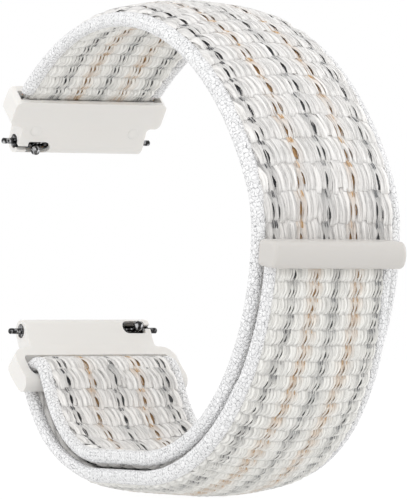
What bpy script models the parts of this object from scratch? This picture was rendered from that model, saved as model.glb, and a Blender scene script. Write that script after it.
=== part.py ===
"""Woven nylon watch strap with a hook-and-loop flap, two lug connectors and quick-release spring bars.

The closed loop stands upright on its flap. X runs from the watch's place to the end cap, Y is the width of
the strap and Z is up. Lengths are in metres and angles in radians. A path of arcs is the middle of the woven
strap. It starts at the mouth of the upper connector and ends in the window of the lower one.
"""

import math
from collections import namedtuple

import bmesh
import bpy
from mathutils import Vector

# Room between the watch's lugs, which every width follows
LUG_WIDTH = 0.0220

# Woven strap
STRAP_PAST_LUG = 0.0001
STRAP_WIDTH = LUG_WIDTH + 2 * STRAP_PAST_LUG
STRAP_THICKNESS = 0.0020
SELVEDGE_ROUNDING = 0.0004
NECK_RADIUS = 0.0100
SHOULDER_RADIUS = 0.0542
CROWN_RADIUS = 0.0416
SIDE_RADIUS = 0.0136
BELLY_RADIUS = 0.0309
BASE_LENGTH = 0.0128
HEEL_RADIUS = 0.0149
WINDOW_RUN = 0.0040
FOLD_RADIUS = 0.00255
MOUTH_HEADING = math.radians(46)
NECK_TURN = math.radians(11)
SHOULDER_TURN = math.radians(4.0)
CROWN_TURN = math.radians(93.9)
SIDE_TURN = math.radians(28.2)
HEEL_TURN = math.radians(60.2)
STATION_STEP = 0.0026
SPLIT_GAP = 0.0003
SEAT_GAP = 0.0003

# Arch across the strap, flat at the two connectors and at the end cap
ARCH_HEIGHT = 0.0017
ARCH_FROM_MOUTH = 0.0200
ARCH_FROM_WINDOW = 0.0120
ARCH_ABOVE_CAP = 0.0100
ARCH_BELOW_CAP = 0.0240
ARCH_CUT_SHARES = (-0.7, -0.35, 0.35, 0.7)

# Flap, the strap's free end, which lies on the loop and peels off it
LAY_RUN = 0.0160
FLAP_LENGTH = 0.0784
LOWER_FLAP_LENGTH = 0.0420
MIDDLE_FLAP_LENGTH = 0.0180
FLAP_TIP_INSET = 0.0016
FLAP_TIP_WIDTH = STRAP_WIDTH - 2 * FLAP_TIP_INSET
FLAP_TIP_SHIFT = 0.0011
FLAP_TIP_THICKNESS = 0.0016
HOOK_THICKNESS = 0.0005
HOOK_CLEARANCE = 0.00025
HOOK_INSET = 0.0010
HOOK_START = 0.0020
HOOK_BELOW_CAP = 0.0006

# End cap
CAP_HEIGHT = 0.0036
CAP_OUTER_WALL = 0.00225
CAP_END_WALL = 0.0004
CAP_ROOF = 0.0009
CAP_OUTER_ROUNDING = 0.0011
CAP_INNER_ROUNDING = 0.0004
CAP_END_ROUNDING = 0.0005
CAP_CLEARANCE = 0.0002

# Both connectors
TONGUE_SIDE_CLEARANCE = 0.0009
TONGUE_WIDTH = LUG_WIDTH - 2 * TONGUE_SIDE_CLEARANCE
TONGUE_THICKNESS = 0.0032
SHOULDER_FILLET = 0.0006
CONNECTOR_ROUNDING = 0.0004

# Upper connector, whose pocket holds the strap's fixed end
UPPER_BEND_RADIUS = 0.0200
UPPER_MOUTH_FROM_BAR = 0.0076
UPPER_FRAME_STEP = 0.0004
UPPER_FRAME_CORNER = 0.0009
UPPER_SHOULDER_FROM_BAR = 0.0034
POCKET_OPENING = 0.0019
POCKET_SIDE_CLEARANCE = 0.0003
POCKET_SIDE_WALL = 0.00075
ROD_FROM_MOUTH = 0.0019
STRAP_END_THICKNESS = 0.0013
STRAP_END_TAPER = 0.0016
STRAP_EYE_WALL = 0.0005
EYE_CLEARANCE = 0.0003
ROD_RADIUS = 0.00038
ROD_CLEARANCE = 0.00010

# Lower connector, whose window the strap passes through
LOWER_BEND_RADIUS = 0.0160
LOWER_WINDOW_BAR_FROM_BAR = 0.0093
LOWER_FRAME_CORNER = 0.0021
LOWER_CONNECTOR_TILT = math.radians(26)
LOWER_SHOULDER_FROM_BAR = 0.0037
WINDOW_TOP_RAIL = 0.0014
WINDOW_SIDE_RAIL = 0.00145
WINDOW_SIDE_CLEARANCE = 0.00055
WINDOW_CORNER = 0.0006
WINDOW_LOW_CORNER = 0.0014
WINDOW_BAR_RADIUS = 0.0012
WINDOW_BAR_OVERLAP = 0.0005
RAIL_END_RADIUS = 0.0014

# Spring bars, one in each tongue
BARREL_RADIUS = 0.00075
BARREL_BORE_RADIUS = 0.00056
FLANGE_RADIUS = 0.00090
FLANGE_THICKNESS = 0.00035
FLANGE_STANDOFF = 0.00005
BAR_HOLE_CLEARANCE = 0.00010
PIN_TIP_RADIUS = 0.00042
PIN_TIP_CHAMFER = 0.00012
PIN_TIP_REACH = 0.00095
PIN_TIP_CLEARANCE = 0.00003
PIN_SHANK_RADIUS = 0.00050
PIN_SHANK_GAP = 0.00005
FIXED_SHANK_LENGTH = 0.0050
RELEASE_SHANK_LENGTH = 0.0055
SPRING_RADIUS = 0.00038
SPRING_WIRE_RADIUS = 0.00007
SPRING_END_GAP = 0.00010
SPRING_TURNS = 10
SPRING_POINTS_PER_TURN = 8

# Release knobs and the notches that they slide in
RELEASE_TRAVEL = 0.0014
KNOB_RADIUS = 0.00074
KNOB_REACH = 0.00192
KNOB_STEM_RADIUS = 0.00022
KNOB_STEM_GAP = 0.00004
STEM_SLOT_CLEARANCE = 0.00010
NOTCH_HALF_WIDTH = 0.0010
NOTCH_DEPTH_PAST_AXIS = 0.0003
NOTCH_END_CLEARANCE = 0.00045
NOTCH_OUTER_CORNER = 0.0003
ROUND_END_SHARE = 0.98
UPPER_KNOB_FROM_END = 0.0027
LOWER_KNOB_FROM_END = 0.0021
UPPER_KNOB_LEAN = math.radians(-20)
LOWER_KNOB_LEAN = math.radians(-2)

# Cuts run past the faces that they open by this much
OVERRUN = 0.0010

# Steps round curves
ARC_STEPS = 6
TURNED_STEPS = 18
BEVEL_STEPS = 2
BALL_STEPS = 5
MERGE_DISTANCE = 0.000001
FLAT_ANGLE = math.radians(0.5)
SHARP_ANGLE = math.radians(55)
SMOOTH_ANGLE = math.radians(35)
SLOPE_STEP = 0.0002

Station = namedtuple("Station", "x z heading run")
Plate = namedtuple("Plate", "heading bend radius")


def clear_scene():
    """Remove every object that is in the file."""
    for obj in list(bpy.data.objects):
        bpy.data.objects.remove(obj, do_unlink=True)


def new_collection(name):
    collection = bpy.data.collections.new(name)
    bpy.context.scene.collection.children.link(collection)
    return collection


def new_material(name, colour, roughness, metallic):
    material = bpy.data.materials.new(name)
    material.use_nodes = True
    shader = material.node_tree.nodes["Principled BSDF"]
    shader.inputs["Base Color"].default_value = (*colour, 1.0)
    shader.inputs["Roughness"].default_value = roughness
    shader.inputs["Metallic"].default_value = metallic
    return material


clear_scene()
PARTS = new_collection("nylon_watch_strap")
CUTTERS = new_collection("cutters")
WOVEN_WHITE = new_material("woven_white", (0.86, 0.86, 0.85), 0.85, 0.0)
HOOK_WHITE = new_material("hook_white", (0.80, 0.80, 0.78), 0.70, 0.0)
MOULDED_GREIGE = new_material("moulded_greige", (0.73, 0.72, 0.69), 0.42, 0.0)
DARK_STEEL = new_material("dark_steel", (0.18, 0.18, 0.19), 0.25, 1.0)
BRIGHT_STEEL = new_material("bright_steel", (0.60, 0.60, 0.62), 0.25, 1.0)


# Path of the strap's middle

def turn_right(path, radius, turn):
    """Add stations along an arc that turns clockwise."""
    start = path[-1]
    centre_x = start.x + radius * math.sin(start.heading)
    centre_z = start.z - radius * math.cos(start.heading)
    steps = max(1, math.ceil(radius * turn / STATION_STEP))
    for step in range(1, steps + 1):
        turned = turn * step / steps
        heading = start.heading - turned
        x = centre_x - radius * math.sin(heading)
        z = centre_z + radius * math.cos(heading)
        path.append(Station(x, z, heading, start.run + radius * turned))


def go_straight(path, length):
    start = path[-1]
    steps = max(1, math.ceil(length / STATION_STEP))
    for step in range(1, steps + 1):
        gone = length * step / steps
        x = start.x + gone * math.cos(start.heading)
        z = start.z + gone * math.sin(start.heading)
        path.append(Station(x, z, start.heading, start.run + gone))


def loop_path():
    """Stations from the upper connector's mouth over the crown and the base to the lower window."""
    path = [Station(0.0, 0.0, MOUTH_HEADING, 0.0)]
    turn_right(path, NECK_RADIUS, NECK_TURN)
    turn_right(path, SHOULDER_RADIUS, SHOULDER_TURN)
    turn_right(path, CROWN_RADIUS, CROWN_TURN)
    turn_right(path, SIDE_RADIUS, SIDE_TURN)
    turn_right(path, BELLY_RADIUS, math.pi + path[-1].heading)
    go_straight(path, BASE_LENGTH)
    turn_right(path, HEEL_RADIUS, HEEL_TURN)
    go_straight(path, WINDOW_RUN)
    return path


LOOP = loop_path()
LOOP_END = LOOP[-1]


def station_at(run):
    """The loop's station at this run, between the two stations beside it."""
    if run <= 0.0:
        return LOOP[0]
    for before, after in zip(LOOP, LOOP[1:]):
        if run <= after.run:
            share = (run - before.run) / (after.run - before.run)
            mixed = [a + (b - a) * share for a, b in zip(before, after)]
            return Station(*mixed)
    return LOOP_END


def direction(angle):
    return Vector((math.cos(angle), math.sin(angle)))


def outward(heading):
    """The loop's outer side at a station with this heading."""
    return direction(heading + math.pi / 2)


def place(station):
    return Vector((station.x, station.z))


def fold_centre():
    """The middle of the lower connector's bar, which the strap folds round."""
    return place(LOOP_END) + FOLD_RADIUS * outward(LOOP_END.heading)


def lay_distance(back):
    """Distance from the loop's middle to the flap's middle, at this run back from the window."""
    settled = SEAT_GAP + HOOK_THICKNESS + HOOK_CLEARANCE + FLAP_TIP_THICKNESS
    return 2 * FOLD_RADIUS + (settled - 2 * FOLD_RADIUS) * eased(back, LAY_RUN)


def flap_point(back):
    """Place on the flap's middle line, this run back from the window."""
    station = station_at(LOOP_END.run - back)
    return place(station) + lay_distance(back) * outward(station.heading)


def flap_normal(back):
    """Outward normal of the flap's middle line."""
    along = flap_point(back + SLOPE_STEP) - flap_point(max(0.0, back - SLOPE_STEP))
    return Vector((along.y, -along.x)).normalized()


def cap_middle():
    """Run back from the window to the middle of the end cap."""
    return FLAP_LENGTH + CAP_CLEARANCE + CAP_ROOF - CAP_HEIGHT / 2


def eased(length, full):
    share = min(1.0, max(0.0, length / full))
    return share * share * (3 - 2 * share)


def arch_height(run):
    """How far the middle of the strap stands out past its edges, at this run along the loop."""
    past_cap = run - (LOOP_END.run - cap_middle())
    fade = ARCH_BELOW_CAP if past_cap > 0.0 else ARCH_ABOVE_CAP
    at_cap = eased(abs(past_cap) - CAP_HEIGHT / 2, fade)
    at_ends = eased(run, ARCH_FROM_MOUTH) * eased(LOOP_END.run - run, ARCH_FROM_WINDOW)
    return ARCH_HEIGHT * at_cap * at_ends


def nearest_station(point):
    """The place on the loop that is nearest to a point in its plane."""
    found = LOOP[0]
    least = (point - place(found)).length
    for before, after in zip(LOOP, LOOP[1:]):
        along = place(after) - place(before)
        share = min(1.0, max(0.0, (point - place(before)).dot(along) / along.length_squared))
        distance = (place(before) + along * share - point).length
        if distance < least:
            least = distance
            found = Station(*[a + (b - a) * share for a, b in zip(before, after)])
    return found


# Meshes and modifiers

def link(obj, material, parent=None, collection=None):
    (collection or PARTS).objects.link(obj)
    if material:
        obj.data.materials.clear()
        obj.data.materials.append(material)
    if parent:
        obj.parent = parent
    return obj


def empty_at(name, point, parent=None):
    """An empty on a joint's axis, at this place in the loop's plane, measured from its parent's place."""
    empty = bpy.data.objects.new(name, None)
    PARTS.objects.link(empty)
    empty.location = (point.x, 0.0, point.y)
    empty.parent = parent
    return empty


def weld(mesh, join_flat_faces=False):
    """Join the points that lie together, and on request the flat faces, and turn every face outwards."""
    tidy = bmesh.new()
    tidy.from_mesh(mesh)
    bmesh.ops.remove_doubles(tidy, verts=tidy.verts, dist=MERGE_DISTANCE)
    if join_flat_faces:
        bmesh.ops.dissolve_limit(tidy, angle_limit=FLAT_ANGLE, verts=tidy.verts, edges=tidy.edges)
    bmesh.ops.recalc_face_normals(tidy, faces=tidy.faces)
    tidy.to_mesh(mesh)
    tidy.free()


def outline_mesh(name, rings, depth, heading=0.0, lift=0.0, flat=False):
    """A closed prism of one outline and its holes.

    The outline's first axis points along heading in the loop's plane. Its second axis lies in that plane
    too, and the prism then runs across the strap. With flat set, the second axis runs across the strap
    instead, and the prism runs through the thickness of the connector, raised by lift.
    """
    curve = bpy.data.curves.new(name, "CURVE")
    curve.dimensions = "2D"
    curve.fill_mode = "BOTH"
    curve.extrude = depth / 2
    for ring in rings:
        spline = curve.splines.new("POLY")
        spline.points.add(len(ring) - 1)
        for point, corner in zip(spline.points, ring):
            point.co = (corner[0], corner[1], 0.0, 1.0)
        spline.use_cyclic_u = True
    helper = bpy.data.objects.new(name, curve)
    CUTTERS.objects.link(helper)
    helper.rotation_euler = (0.0 if flat else math.pi / 2, -heading, 0.0)
    bpy.context.view_layer.update()
    helper.location = helper.matrix_world.to_3x3() @ Vector((0.0, 0.0, lift))
    bpy.context.view_layer.update()
    evaluated = helper.evaluated_get(bpy.context.evaluated_depsgraph_get())
    mesh = bpy.data.meshes.new_from_object(evaluated)
    mesh.transform(helper.matrix_world)
    bpy.data.objects.remove(helper, do_unlink=True)
    weld(mesh, True)
    mesh.name = name
    return mesh


def turned_mesh(name, profile):
    """A solid of revolution about Z. The profile runs down its outer side and holds radius and height."""
    mesh = bpy.data.meshes.new(name)
    corners = [(radius, 0.0, height) for radius, height in profile]
    count = len(corners)
    closed = all(radius > 0.0 for radius, _ in profile)
    edges = [(i, (i + 1) % count) for i in range(count if closed else count - 1)]
    mesh.from_pydata(corners, edges, [])
    helper = bpy.data.objects.new(name, mesh)
    CUTTERS.objects.link(helper)
    screw = helper.modifiers.new("turn", "SCREW")
    screw.axis = "Z"
    screw.angle = 2 * math.pi
    screw.steps = TURNED_STEPS
    screw.render_steps = TURNED_STEPS
    screw.use_merge_vertices = True
    screw.merge_threshold = MERGE_DISTANCE
    bpy.context.view_layer.update()
    evaluated = helper.evaluated_get(bpy.context.evaluated_depsgraph_get())
    turned = bpy.data.meshes.new_from_object(evaluated)
    bpy.data.objects.remove(helper, do_unlink=True)
    weld(turned)
    turned.shade_smooth()
    turned.set_sharp_from_angle(angle=SMOOTH_ANGLE)
    return turned


def cylinder(name, radius, length):
    half = length / 2
    return turned_mesh(name, [(0.0, half), (radius, half), (radius, -half), (0.0, -half)])


def along_y(mesh, forward=1):
    """Turn a mesh that was made about Z so that its top points along Y, or against it."""
    turned = Vector((0.0, 0.0, 1.0)).rotation_difference(Vector((0.0, forward, 0.0)))
    mesh.transform(turned.to_matrix().to_4x4())
    return mesh


def cutter(name, mesh, parent=None):
    obj = link(bpy.data.objects.new(name, mesh), None, parent, CUTTERS)
    obj.hide_render = True
    obj.display_type = "WIRE"
    return obj


def boolean(obj, other, operation):
    modifier = obj.modifiers.new(operation.lower() + "_" + other.name, "BOOLEAN")
    modifier.operation = operation
    modifier.solver = "EXACT"
    modifier.object = other


def round_edges(obj, width, steps=BEVEL_STEPS):
    bevel = obj.modifiers.new("rounding", "BEVEL")
    bevel.width = width
    bevel.segments = steps
    bevel.limit_method = "ANGLE"
    bevel.angle_limit = SHARP_ANGLE


def arc(centre, radius, start, end, steps=ARC_STEPS):
    """Points from one angle to another round a centre."""
    return [centre + radius * direction(start + (end - start) * step / steps) for step in range(steps + 1)]


def filleted(corners, radii, steps=ARC_STEPS):
    """A polygon with an arc at each corner that has a radius. Corners run counter-clockwise."""
    points = []
    count = len(corners)
    for index, (corner, radius) in enumerate(zip(corners, radii)):
        corner = Vector(corner)
        if radius == 0.0:
            points.append(corner)
            continue
        to_last = (Vector(corners[index - 1]) - corner).normalized()
        to_next = (Vector(corners[(index + 1) % count]) - corner).normalized()
        half = to_last.angle(to_next) / 2
        middle = corner + (to_last + to_next).normalized() * radius / math.sin(half)
        first = corner + to_last * radius / math.tan(half) - middle
        last = corner + to_next * radius / math.tan(half) - middle
        start = math.atan2(first.y, first.x)
        sweep = (math.atan2(last.y, last.x) - start + math.pi) % (2 * math.pi) - math.pi
        points += arc(middle, radius, start, start + sweep, steps)
    return points


def box_corners(low_x, high_x, low_y, high_y):
    return [(low_x, low_y), (high_x, low_y), (high_x, high_y), (low_x, high_y)]


# Woven pieces

def strap_half_thickness(run):
    """Half the loop's thickness: thin in the pocket, and full past a short taper outside the mouth."""
    share = min(1.0, max(0.0, run / STRAP_END_TAPER))
    return (STRAP_END_THICKNESS + (STRAP_THICKNESS - STRAP_END_THICKNESS) * share) / 2


def rod_place():
    """The anchor rod's axis, inside the pocket."""
    return place(LOOP[0]) - ROD_FROM_MOUTH * direction(MOUTH_HEADING)


def eye_radius():
    return ROD_RADIUS + ROD_CLEARANCE + STRAP_EYE_WALL


def arch_across(mesh, hinge):
    """Push the middle of a woven piece outwards. The hinge is where the mesh has its origin."""
    shape = bmesh.new()
    shape.from_mesh(mesh)
    for share in ARCH_CUT_SHARES:
        cut = Vector((0.0, share * STRAP_WIDTH / 2, 0.0))
        everything = shape.verts[:] + shape.edges[:] + shape.faces[:]
        bmesh.ops.bisect_plane(shape, geom=everything, dist=MERGE_DISTANCE, plane_co=cut, plane_no=(0, 1, 0))
    for vertex in shape.verts:
        station = nearest_station(Vector((vertex.co.x, vertex.co.z)) + hinge)
        share = 1 - (2 * vertex.co.y / STRAP_WIDTH) ** 2
        push = outward(station.heading) * arch_height(station.run) * share
        vertex.co += Vector((push.x, 0.0, push.y))
    shape.to_mesh(mesh)
    shape.free()


def make_strap_loop(root):
    """The strap from its eye in the pocket, right round to the window."""
    taper = station_at(STRAP_END_TAPER)
    last = station_at(LOOP_END.run - SPLIT_GAP / 2)
    stations = [LOOP[0], taper] + [s for s in LOOP if taper.run < s.run < last.run] + [last]
    outer = [place(s) + outward(s.heading) * strap_half_thickness(s.run) for s in stations]
    inner = [place(s) - outward(s.heading) * strap_half_thickness(s.run) for s in stations]
    opening = math.asin(STRAP_END_THICKNESS / 2 / eye_radius())
    start = MOUTH_HEADING - opening
    end = MOUTH_HEADING + opening - 2 * math.pi
    eye = arc(rod_place(), eye_radius(), start, end, 3 * ARC_STEPS)
    hole = arc(rod_place(), ROD_RADIUS + ROD_CLEARANCE, 0.0, 2 * math.pi, 3 * ARC_STEPS)[:-1]
    mesh = outline_mesh("strap_loop", [outer + inner[::-1] + eye, hole], STRAP_WIDTH)
    arch_across(mesh, Vector((0.0, 0.0)))
    loop = link(bpy.data.objects.new("strap_loop", mesh), WOVEN_WHITE, root)
    round_edges(loop, SELVEDGE_ROUNDING)


def make_strap_fold(root):
    """The half turn round the lower connector's window bar."""
    trim = SPLIT_GAP / 2 / FOLD_RADIUS
    start = LOOP_END.heading - math.pi / 2 + trim
    end = LOOP_END.heading + math.pi / 2 - trim
    outer = arc(fold_centre(), FOLD_RADIUS + STRAP_THICKNESS / 2, start, end, 2 * ARC_STEPS)
    inner = arc(fold_centre(), FOLD_RADIUS - STRAP_THICKNESS / 2, start, end, 2 * ARC_STEPS)
    mesh = outline_mesh("strap_fold", [outer + inner[::-1]], STRAP_WIDTH)
    fold = link(bpy.data.objects.new("strap_fold", mesh), WOVEN_WHITE, root)
    round_edges(fold, SELVEDGE_ROUNDING)


def flap_outline(start, end, outer_offset, inner_offset, hinge):
    """A stretch of flap between two runs. Its faces lie at these offsets from the flap's middle line."""
    steps = max(2, math.ceil((end - start) / STATION_STEP))
    backs = [start + (end - start) * step / steps for step in range(steps + 1)]
    outer = [flap_point(back) + flap_normal(back) * outer_offset - hinge for back in backs]
    inner = [flap_point(back) + flap_normal(back) * inner_offset - hinge for back in backs]
    return outer + inner[::-1]


def taper_flap(mesh, hinge, inset=0.0):
    """Draw in the flap's sides, from the loop's width low down to the tip's width below the cap."""
    low = flap_point(LOWER_FLAP_LENGTH).y - hinge.y
    high = flap_point(FLAP_LENGTH - CAP_HEIGHT - STATION_STEP).y - hinge.y
    for vertex in mesh.vertices:
        share = min(1.0, max(0.0, (vertex.co.z - low) / (high - low)))
        half = (STRAP_WIDTH + (FLAP_TIP_WIDTH - STRAP_WIDTH) * share) / 2 - inset
        vertex.co.y = math.copysign(half, vertex.co.y) - FLAP_TIP_SHIFT * share


def make_flap_stretch(name, start, end, offsets, hinge, parent):
    mesh = outline_mesh(name, [flap_outline(start, end, *offsets, hinge)], STRAP_WIDTH)
    taper_flap(mesh, hinge)
    arch_across(mesh, hinge)
    stretch = link(bpy.data.objects.new(name, mesh), WOVEN_WHITE, parent)
    round_edges(stretch, SELVEDGE_ROUNDING)


def split_hinge(back):
    """Where the flap bends when it is peeled: the crest of its outer face at a split."""
    crest = STRAP_THICKNESS / 2 + arch_height(LOOP_END.run - back)
    return flap_point(back) + flap_normal(back) * crest


def make_flap(root):
    """Three stretches of flap, with a hinge where each of the two upper ones peels off."""
    half = STRAP_THICKNESS / 2
    tip_start = LOWER_FLAP_LENGTH + MIDDLE_FLAP_LENGTH
    gap = SPLIT_GAP / 2
    faces = (half, -half)
    start = Vector((0.0, 0.0))
    make_flap_stretch("flap_lower", gap, LOWER_FLAP_LENGTH - gap, faces, start, root)
    hinge = split_hinge(LOWER_FLAP_LENGTH)
    middle_hinge = empty_at("flap_middle_hinge", hinge, root)
    make_flap_stretch("flap_middle", LOWER_FLAP_LENGTH + gap, tip_start - gap, faces, hinge, middle_hinge)
    tip = split_hinge(tip_start)
    tip_hinge = empty_at("flap_tip_hinge", tip - hinge, middle_hinge)
    tip_faces = (half, half - FLAP_TIP_THICKNESS)
    make_flap_stretch("flap_tip", tip_start + gap, FLAP_LENGTH, tip_faces, tip, tip_hinge)
    make_hook_patch(tip_start + HOOK_START, tip, tip_hinge)
    make_end_cap(tip, tip_hinge)


def cap_grip():
    """How far the flap's tip goes into the end cap."""
    return CAP_HEIGHT - CAP_ROOF - CAP_CLEARANCE


def make_hook_patch(start, hinge, parent):
    """The hook tape that is sewn to the inner face of the flap's tip."""
    outer = STRAP_THICKNESS / 2 - FLAP_TIP_THICKNESS - HOOK_CLEARANCE
    end = FLAP_LENGTH - cap_grip() - HOOK_BELOW_CAP
    rings = [flap_outline(start, end, outer, outer - HOOK_THICKNESS, hinge)]
    mesh = outline_mesh("hook_patch", rings, STRAP_WIDTH)
    taper_flap(mesh, hinge, HOOK_INSET)
    arch_across(mesh, hinge)
    link(bpy.data.objects.new("hook_patch", mesh), HOOK_WHITE, parent)


def make_end_cap(hinge, parent):
    """The moulded cap, with a slot from below that holds the flap's tip."""
    half = STRAP_THICKNESS / 2
    middle = cap_middle()
    heading = station_at(LOOP_END.run - middle).heading
    inner = half + SEAT_GAP - lay_distance(middle)
    slot_inner = half - FLAP_TIP_THICKNESS - CAP_CLEARANCE
    slot_outer = half + CAP_CLEARANCE
    outer = slot_outer + CAP_OUTER_WALL
    low = -CAP_HEIGHT / 2
    slot_half_width = FLAP_TIP_WIDTH / 2 + CAP_CLEARANCE
    corners = box_corners(low, -low, inner, outer)
    roundings = [CAP_OUTER_ROUNDING] * 4
    roundings[0] = CAP_INNER_ROUNDING
    roundings[1] = CAP_INNER_ROUNDING
    length = 2 * (slot_half_width + CAP_END_WALL)
    mesh = outline_mesh("end_cap", [filleted(corners, roundings)], length, heading)
    cap = link(bpy.data.objects.new("end_cap", mesh), MOULDED_GREIGE, parent)
    place_on_flap = flap_point(middle) - hinge
    cap.location = (place_on_flap.x, -FLAP_TIP_SHIFT, place_on_flap.y)
    round_edges(cap, CAP_END_ROUNDING)
    slot = box_corners(CAP_ROOF - CAP_HEIGHT / 2, CAP_HEIGHT / 2 + OVERRUN, slot_inner, slot_outer)
    slot_mesh = outline_mesh("end_cap_slot", [slot], 2 * slot_half_width, heading)
    boolean(cap, cutter("end_cap_slot", slot_mesh, cap), "DIFFERENCE")


# Connectors

def plate_heading(plate, run):
    return plate.heading + plate.bend * run / plate.radius


def plate_outer(plate, run):
    """The plate's outer side, away from the wrist."""
    return -plate.bend * outward(plate_heading(plate, run))


def plate_point(plate, run, offset=0.0):
    """Place at this run from the spring bar, on the middle of the curved plate or offset outwards."""
    centre = plate.bend * plate.radius * outward(plate.heading)
    middle = centre - plate.bend * plate.radius * outward(plate_heading(plate, run))
    return middle + offset * plate_outer(plate, run)


def along_plate(plate, start, end, start_offset, end_offset):
    points = []
    for step in range(ARC_STEPS + 1):
        share = step / ARC_STEPS
        run = start + (end - start) * share
        points.append(plate_point(plate, run, start_offset + (end_offset - start_offset) * share))
    return points


def half_round(plate, run, radius, backwards):
    """The round end of a plate, at its spring bar when backwards and otherwise at its other end."""
    start = plate_outer(plate, run) * (-1 if backwards else 1)
    angle = math.atan2(start.y, start.x)
    return arc(plate_point(plate, run), radius, angle, angle + plate.bend * math.pi, 2 * ARC_STEPS)[1:-1]


def tongue_and_frame(plate, heading, shoulder, end, frame_width, corner, end_corner):
    """A T outline: the tongue at the spring bar, and the wider frame from the shoulder to the end."""
    low = -TONGUE_THICKNESS
    step_at = plate_point(plate, shoulder).dot(direction(heading))
    tongue = TONGUE_WIDTH / 2
    frame = frame_width / 2
    corners = [(low, -tongue), (step_at, -tongue), (step_at, -frame), (end, -frame),
               (end, frame), (step_at, frame), (step_at, tongue), (low, tongue)]
    radii = [0.0, SHOULDER_FILLET, corner, end_corner, end_corner, corner, SHOULDER_FILLET, 0.0]
    depth = 2 * (shoulder + end)
    return outline_mesh("plan", [filleted(corners, radii)], depth, heading, flat=True)


def finish_connector(name, section, width, plan_mesh, parent, location):
    """The plate's section across its full width, cut to the T outline, with its edges rounded."""
    mesh = outline_mesh(name, [section], width)
    obj = link(bpy.data.objects.new(name, mesh), MOULDED_GREIGE, parent)
    obj.location = (location.x, 0.0, location.y)
    boolean(obj, cutter(name + "_plan", plan_mesh, obj), "INTERSECT")
    round_edges(obj, CONNECTOR_ROUNDING)
    return obj


def cut_bar_hole(connector):
    mesh = cylinder("bar_hole", FLANGE_RADIUS + BAR_HOLE_CLEARANCE, TONGUE_WIDTH + 2 * OVERRUN)
    hole = cutter(connector.name + "_bar_hole", along_y(mesh), connector)
    boolean(connector, hole, "DIFFERENCE")


def knob_angle(plate, lean):
    """Direction in the loop's plane in which a release knob stands up, near the plate's inner side."""
    return plate.heading + plate.bend * math.pi / 2 + lean


def cut_knob_notch(connector, angle, side, knob_from_end):
    """The notch that the knob slides in, and the channel that its stem passes when the bar is put in.

    Both open the bar hole on the plate's inner side. The channel runs from the notch to the tongue's end.
    """
    knob = TONGUE_WIDTH / 2 - knob_from_end
    outer_end = knob + KNOB_RADIUS + NOTCH_END_CLEARANCE
    inner_end = knob - RELEASE_TRAVEL - NOTCH_HALF_WIDTH
    corners = box_corners(-NOTCH_HALF_WIDTH, NOTCH_HALF_WIDTH, inner_end, outer_end)
    round_end = NOTCH_HALF_WIDTH * ROUND_END_SHARE
    radii = [round_end, round_end, NOTCH_OUTER_CORNER, NOTCH_OUTER_CORNER]
    outline = [Vector((point[0], side * point[1])) for point in filleted(corners, radii)]
    top = TONGUE_THICKNESS / 2 + OVERRUN
    depth = top + NOTCH_DEPTH_PAST_AXIS
    lift = (top - NOTCH_DEPTH_PAST_AXIS) / 2
    mesh = outline_mesh("knob_notch", [outline], depth, angle - math.pi / 2, lift, flat=True)
    boolean(connector, cutter(connector.name + "_knob_notch", mesh, connector), "DIFFERENCE")
    half = KNOB_STEM_RADIUS + STEM_SLOT_CLEARANCE
    corners = box_corners(-half, half, knob, TONGUE_WIDTH / 2 + OVERRUN)
    outline = [Vector((x, side * y)) for x, y in corners]
    mesh = outline_mesh("stem_channel", [outline], top, angle - math.pi / 2, top / 2, flat=True)
    boolean(connector, cutter(connector.name + "_stem_channel", mesh, connector), "DIFFERENCE")


def upper_plate():
    turn = UPPER_MOUTH_FROM_BAR / UPPER_BEND_RADIUS
    return Plate(MOUTH_HEADING + turn, -1, UPPER_BEND_RADIUS)


def lower_plate():
    turn = LOWER_WINDOW_BAR_FROM_BAR / LOWER_BEND_RADIUS
    return Plate(LOOP_END.heading + math.pi + LOWER_CONNECTOR_TILT - turn, 1, LOWER_BEND_RADIUS)


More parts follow.
